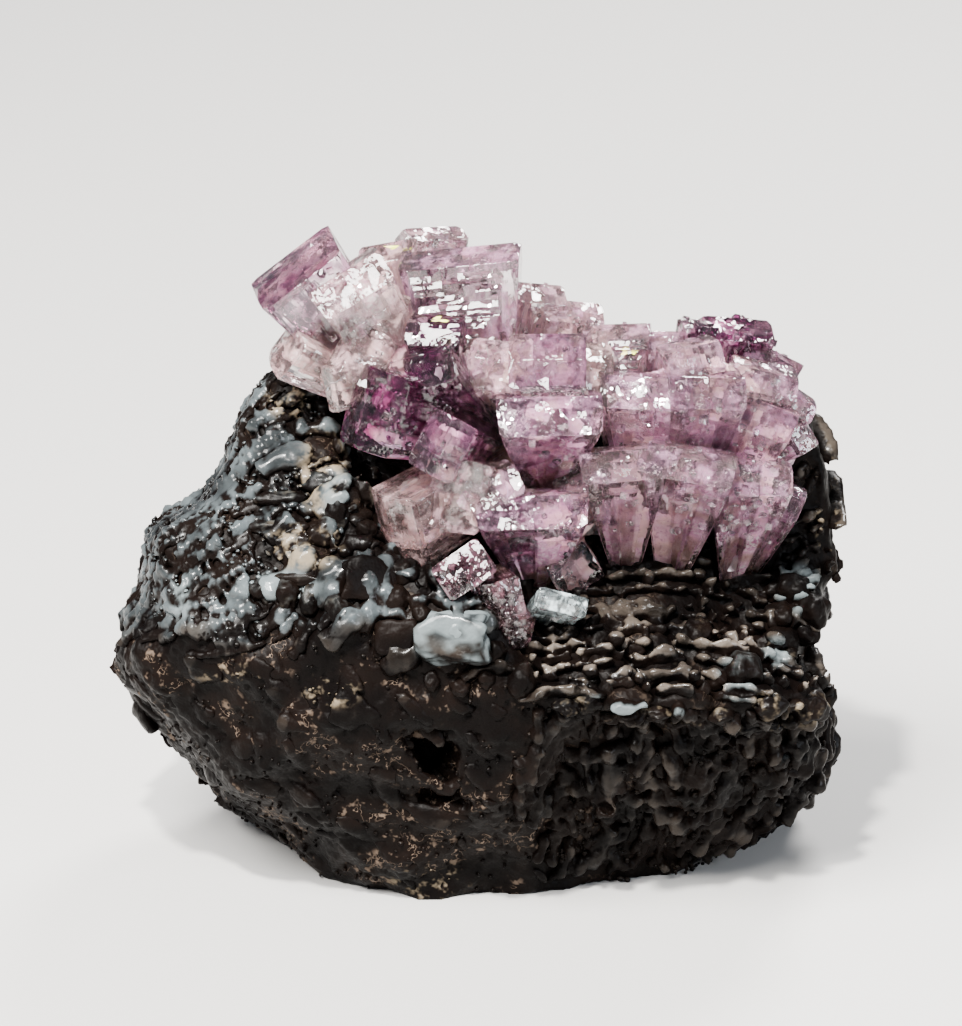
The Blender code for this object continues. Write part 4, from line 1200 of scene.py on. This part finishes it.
def shellLook(name, shades, absorbs):
    look = Look(name)
    grain, patchy, zone, shade = crystalTones(look, shades)
    cloud = look.attribute("cloud")
    streaks = look.noise(look.stretch(grain, (2.6, 2.6, 0.16)), 1.0, 1.0, 0.6)
    veil = look.spread(patchy + (streaks - 0.5) * 0.7, 0.46, 0.72)
    milky = cloud * (0.04 + shades["veil"] * veil)
    tint = look.mix(look.spread(zone, 0.15, 0.80), (0.99, 0.95, 0.94), shades["tint"])
    tint = look.mix(look.spread(zone, 0.70, 1.20), tint, shades["deep"])
    leant = leaningNormal(look, grain, patchy, *optics["shellLean"])
    clear = look.make("BsdfPrincipled", None, {
        "Base Color": tint, "Roughness": 0.01 + streaks * 0.06, "IOR": optics["clearIor"],
        "Transmission Weight": 1.0, "Normal": leant})
    cloudy = look.make("BsdfPrincipled", None, {
        "Base Color": shade, "Roughness": 0.10 + streaks * 0.16, "IOR": optics["cloudedIor"],
        "Normal": leant})
    both = look.make("MixShader", None, {0: milky, 1: clear, 2: cloudy})
    if not absorbs:
        return look.finish(both)
    fog = look.make("VolumeAbsorption", None, {"Color": (*shades["fog"], 1.0), "Density": shades["density"]})
    return look.finish(both, fog)


def heartLook(name, shades):
    look = Look(name)
    grain, patchy, zone, shade = crystalTones(look, shades)
    specks = look.noise(grain, 3.6, 2.0, 0.7)
    white = look.spread(specks, 0.44, 0.60) * look.spread(patchy, 0.42, 0.60) * look.attribute("cloud")
    shade = look.mix(white * 0.9, shade, shades["cream"])
    dark = look.spread(specks, 0.34, 0.42, 1.0, 0.0)
    shade = look.mix(dark * 0.4, shade, shades["deep"])
    stretched = look.stretch(grain, (1.6, 1.6, 1.6))
    paint = look.make("BsdfPrincipled", None, {
        "Base Color": shade, "Roughness": 0.16 + specks * 0.2,
        "Normal": leaningNormal(look, stretched, patchy, *optics["heartLean"])})
    return look.finish(paint)


shadesOf = {
    "adamite": {"foot": (0.26, 0.15, 0.11), "body": (0.93, 0.62, 0.61), "bloom": (0.86, 0.46, 0.68),
                "deep": (0.21, 0.035, 0.13), "tint": (0.98, 0.80, 0.88), "cream": (0.95, 0.91, 0.87),
                "veil": 0.30, "fog": (0.92, 0.70, 0.72), "density": 24.0},
    "rim": {"foot": (0.12, 0.07, 0.06), "body": (0.30, 0.16, 0.16), "bloom": (0.40, 0.18, 0.24),
            "deep": (0.10, 0.02, 0.06), "tint": (0.66, 0.42, 0.50), "cream": (0.62, 0.48, 0.48),
            "veil": 0.50, "fog": (0.55, 0.32, 0.38), "density": 200.0},
    "blade": {"foot": (0.50, 0.60, 0.62), "body": (0.66, 0.78, 0.80), "bloom": (0.60, 0.70, 0.76),
              "deep": (0.34, 0.38, 0.46), "tint": (0.85, 0.92, 0.95), "cream": (0.85, 0.92, 0.93),
              "veil": 0.70, "fog": (0.80, 0.88, 0.90), "density": 30.0},
}
# specs, seed, how many small crystals of each kind a large one has, piece, node; reach is how near two
# large ones are that get a filler between them, and one in so many crust blocks sits on the end
sprays = {
    "adamite": (mainGrowth, 4,
                {"proud": 1, "bundle": 6, "offshoots": 1, "reach": 5.2, "crust": 12, "ends": 3},
                "adamite_growth", "adamite_crystals"),
    "rim": (rimGrowth, 7,
            {"proud": 2, "bundle": 8, "offshoots": 5, "reach": 4.0, "crust": 90, "ends": 1},
            "rim_growth", "rim_crystals"),
    "blade": (bladeGrowth, 9,
              {"proud": 1, "bundle": 4, "offshoots": 0, "reach": 0.0, "crust": 6, "ends": 3},
              "pale_blade_crystal", "pale_blade"),
}
for kind, (specs, seed, settings, name, node) in sprays.items():
    spray, trim, hearts = growSpray(specs, seed, settings)
    spray.build(name, shellLook(kind, shadesOf[kind], True), node)
    trim.build(name + "_trim", shellLook(kind + "Trim", shadesOf[kind], False), node, False)
    hearts.build(name + "_heart", heartLook(kind + "Heart", shadesOf[kind]), node, False)


# Flaws inside the crystals: thin healed cracks and small bright flecks, so many in each large crystal
flaws = {
    "cracks": 2, "flecks": 7, "seed": 21, "thick": 0.012,
    "crackWide": (0.10, 0.20), "crackLong": (0.06, 0.14),
    "fleckWide": (0.04, 0.11), "fleckLong": (0.8, 1.8),
    "shade": (0.95, 0.90, 0.88), "second": (0.86, 0.60, 0.86),
}


def flawLook():
    look = Look("flaws")
    place = look.make("TexCoord", out="Object")
    tint = look.noise(place, 260.0, 2.0)
    shade = look.mix(look.spread(tint, 0.40, 0.62), flaws["shade"], flaws["second"])
    paint = look.make("BsdfPrincipled", None, {
        "Base Color": shade, "Roughness": 0.16 + tint * 0.2, "IOR": 1.5})
    return look.finish(paint)


def flake(points, faces, place, spot, lean, wide, long, thick, corners):
    # a thin closed plate with an uneven outline
    first = len(points)
    turn = Matrix.Translation(spot) @ lean
    for side in (-1, 1):
        for k in range(corners):
            angle = 2 * math.pi * k / corners
            far = 0.7 + 0.3 * math.sin(k * 2.3 + spot.x * 9)
            corner = Vector((math.cos(angle) * wide * far, side * thick, math.sin(angle) * long * far))
            points.append(place @ (turn @ corner))
    faces.append(tuple(first + k for k in range(corners)))
    faces.append(tuple(first + corners + k for k in reversed(range(corners))))
    for k in range(corners):
        after = (k + 1) % corners
        faces.append((first + after, first + k, first + corners + k, first + corners + after))


def layFlakes(name, points, faces, material):
    mesh = bpy.data.meshes.new(name)
    mesh.from_pydata([tuple(point * mm) for point in points], [], faces)
    piece = newPiece(name, mesh, material, smooth=False)
    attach(piece, "root")
    print(name, "has", len(faces), "faces")


def makeFlaws():
    draw = random.Random(flaws["seed"])
    points, faces = [], []
    for _, root, tip, width, thickness, share, roll, *_ in mainGrowth:
        place, length = standAt(root, tip, roll)
        for k in range(flaws["cracks"] + flaws["flecks"]):
            along = draw.uniform(0.30, 0.90)
            room = 0.42 * (share + (1 - share) * along)
            spot = Vector((draw.uniform(-1, 1) * width * room, draw.uniform(-1, 0.6) * thickness * room,
                           along * length))
            lean = Matrix.Rotation(draw.uniform(-0.5, 0.5), 4, "X") @ Matrix.Rotation(
                draw.uniform(0, 3.1), 4, "Z") @ Matrix.Rotation(draw.uniform(-0.6, 0.6), 4, "Y")
            if k < flaws["cracks"]:
                wide = min(width, thickness) * draw.uniform(*flaws["crackWide"])
                long, corners = length * draw.uniform(*flaws["crackLong"]), 7
            else:
                wide = draw.uniform(*flaws["fleckWide"])
                long, corners = wide * draw.uniform(*flaws["fleckLong"]), 5
            flake(points, faces, place, spot, lean, wide, long, flaws["thick"], corners)
    layFlakes("crystal_flaws", points, faces, flawLook())


makeFlaws()


# Flakes on the crest faces painted yellow and green, as painted glints that stand in for a flash of colour:
# across, up, depth, width, height
glints = {
    "places": [(-5.4, 36.0, 1.6, 0.9, 0.16), (-4.4, 35.7, 3.2, 1.0, 0.18), (-2.3, 31.7, -3.5, 0.8, 0.20),
               (8.6, 30.0, -0.9, 0.7, 0.30)],
    "shade": (0.80, 0.86, 0.10), "second": (0.98, 0.86, 0.30), "each": 3, "thick": 0.015, "seed": 5,
}


def glintLook():
    look = Look("paintedGlint")
    place = look.make("TexCoord", out="Object")
    band = look.noise(place, 1100.0, 2.0)
    # a yellow-green base colour stands in for the iridescent flash: a painted glint
    shade = look.mix(look.spread(band, 0.42, 0.58), glints["shade"], glints["second"])
    paint = look.make("BsdfPrincipled", None, {"Base Color": shade, "Roughness": 0.08 + band * 0.1,
                                               "Specular IOR Level": 0.9, "Coat Weight": 0.8})
    return look.finish(paint)


def makeGlints():
    draw = random.Random(glints["seed"])
    points, faces = [], []
    for across, up, depth, wide, high in glints["places"]:
        place = Matrix.Translation(seen(across, up, depth) / mm)
        for _ in range(glints["each"]):
            spot = Vector((draw.uniform(-0.5, 0.5) * wide, 0, draw.uniform(-0.5, 0.5) * high))
            lean = Matrix.Rotation(-0.4 + draw.uniform(-0.2, 0.2), 4, "X") @ Matrix.Rotation(
                draw.uniform(-0.4, 0.1), 4, "Y")
            flake(points, faces, place, spot, lean, wide * 0.5, high * 0.6, glints["thick"], 7)
    layFlakes("painted_glints", points, faces, glintLook())


makeGlints()
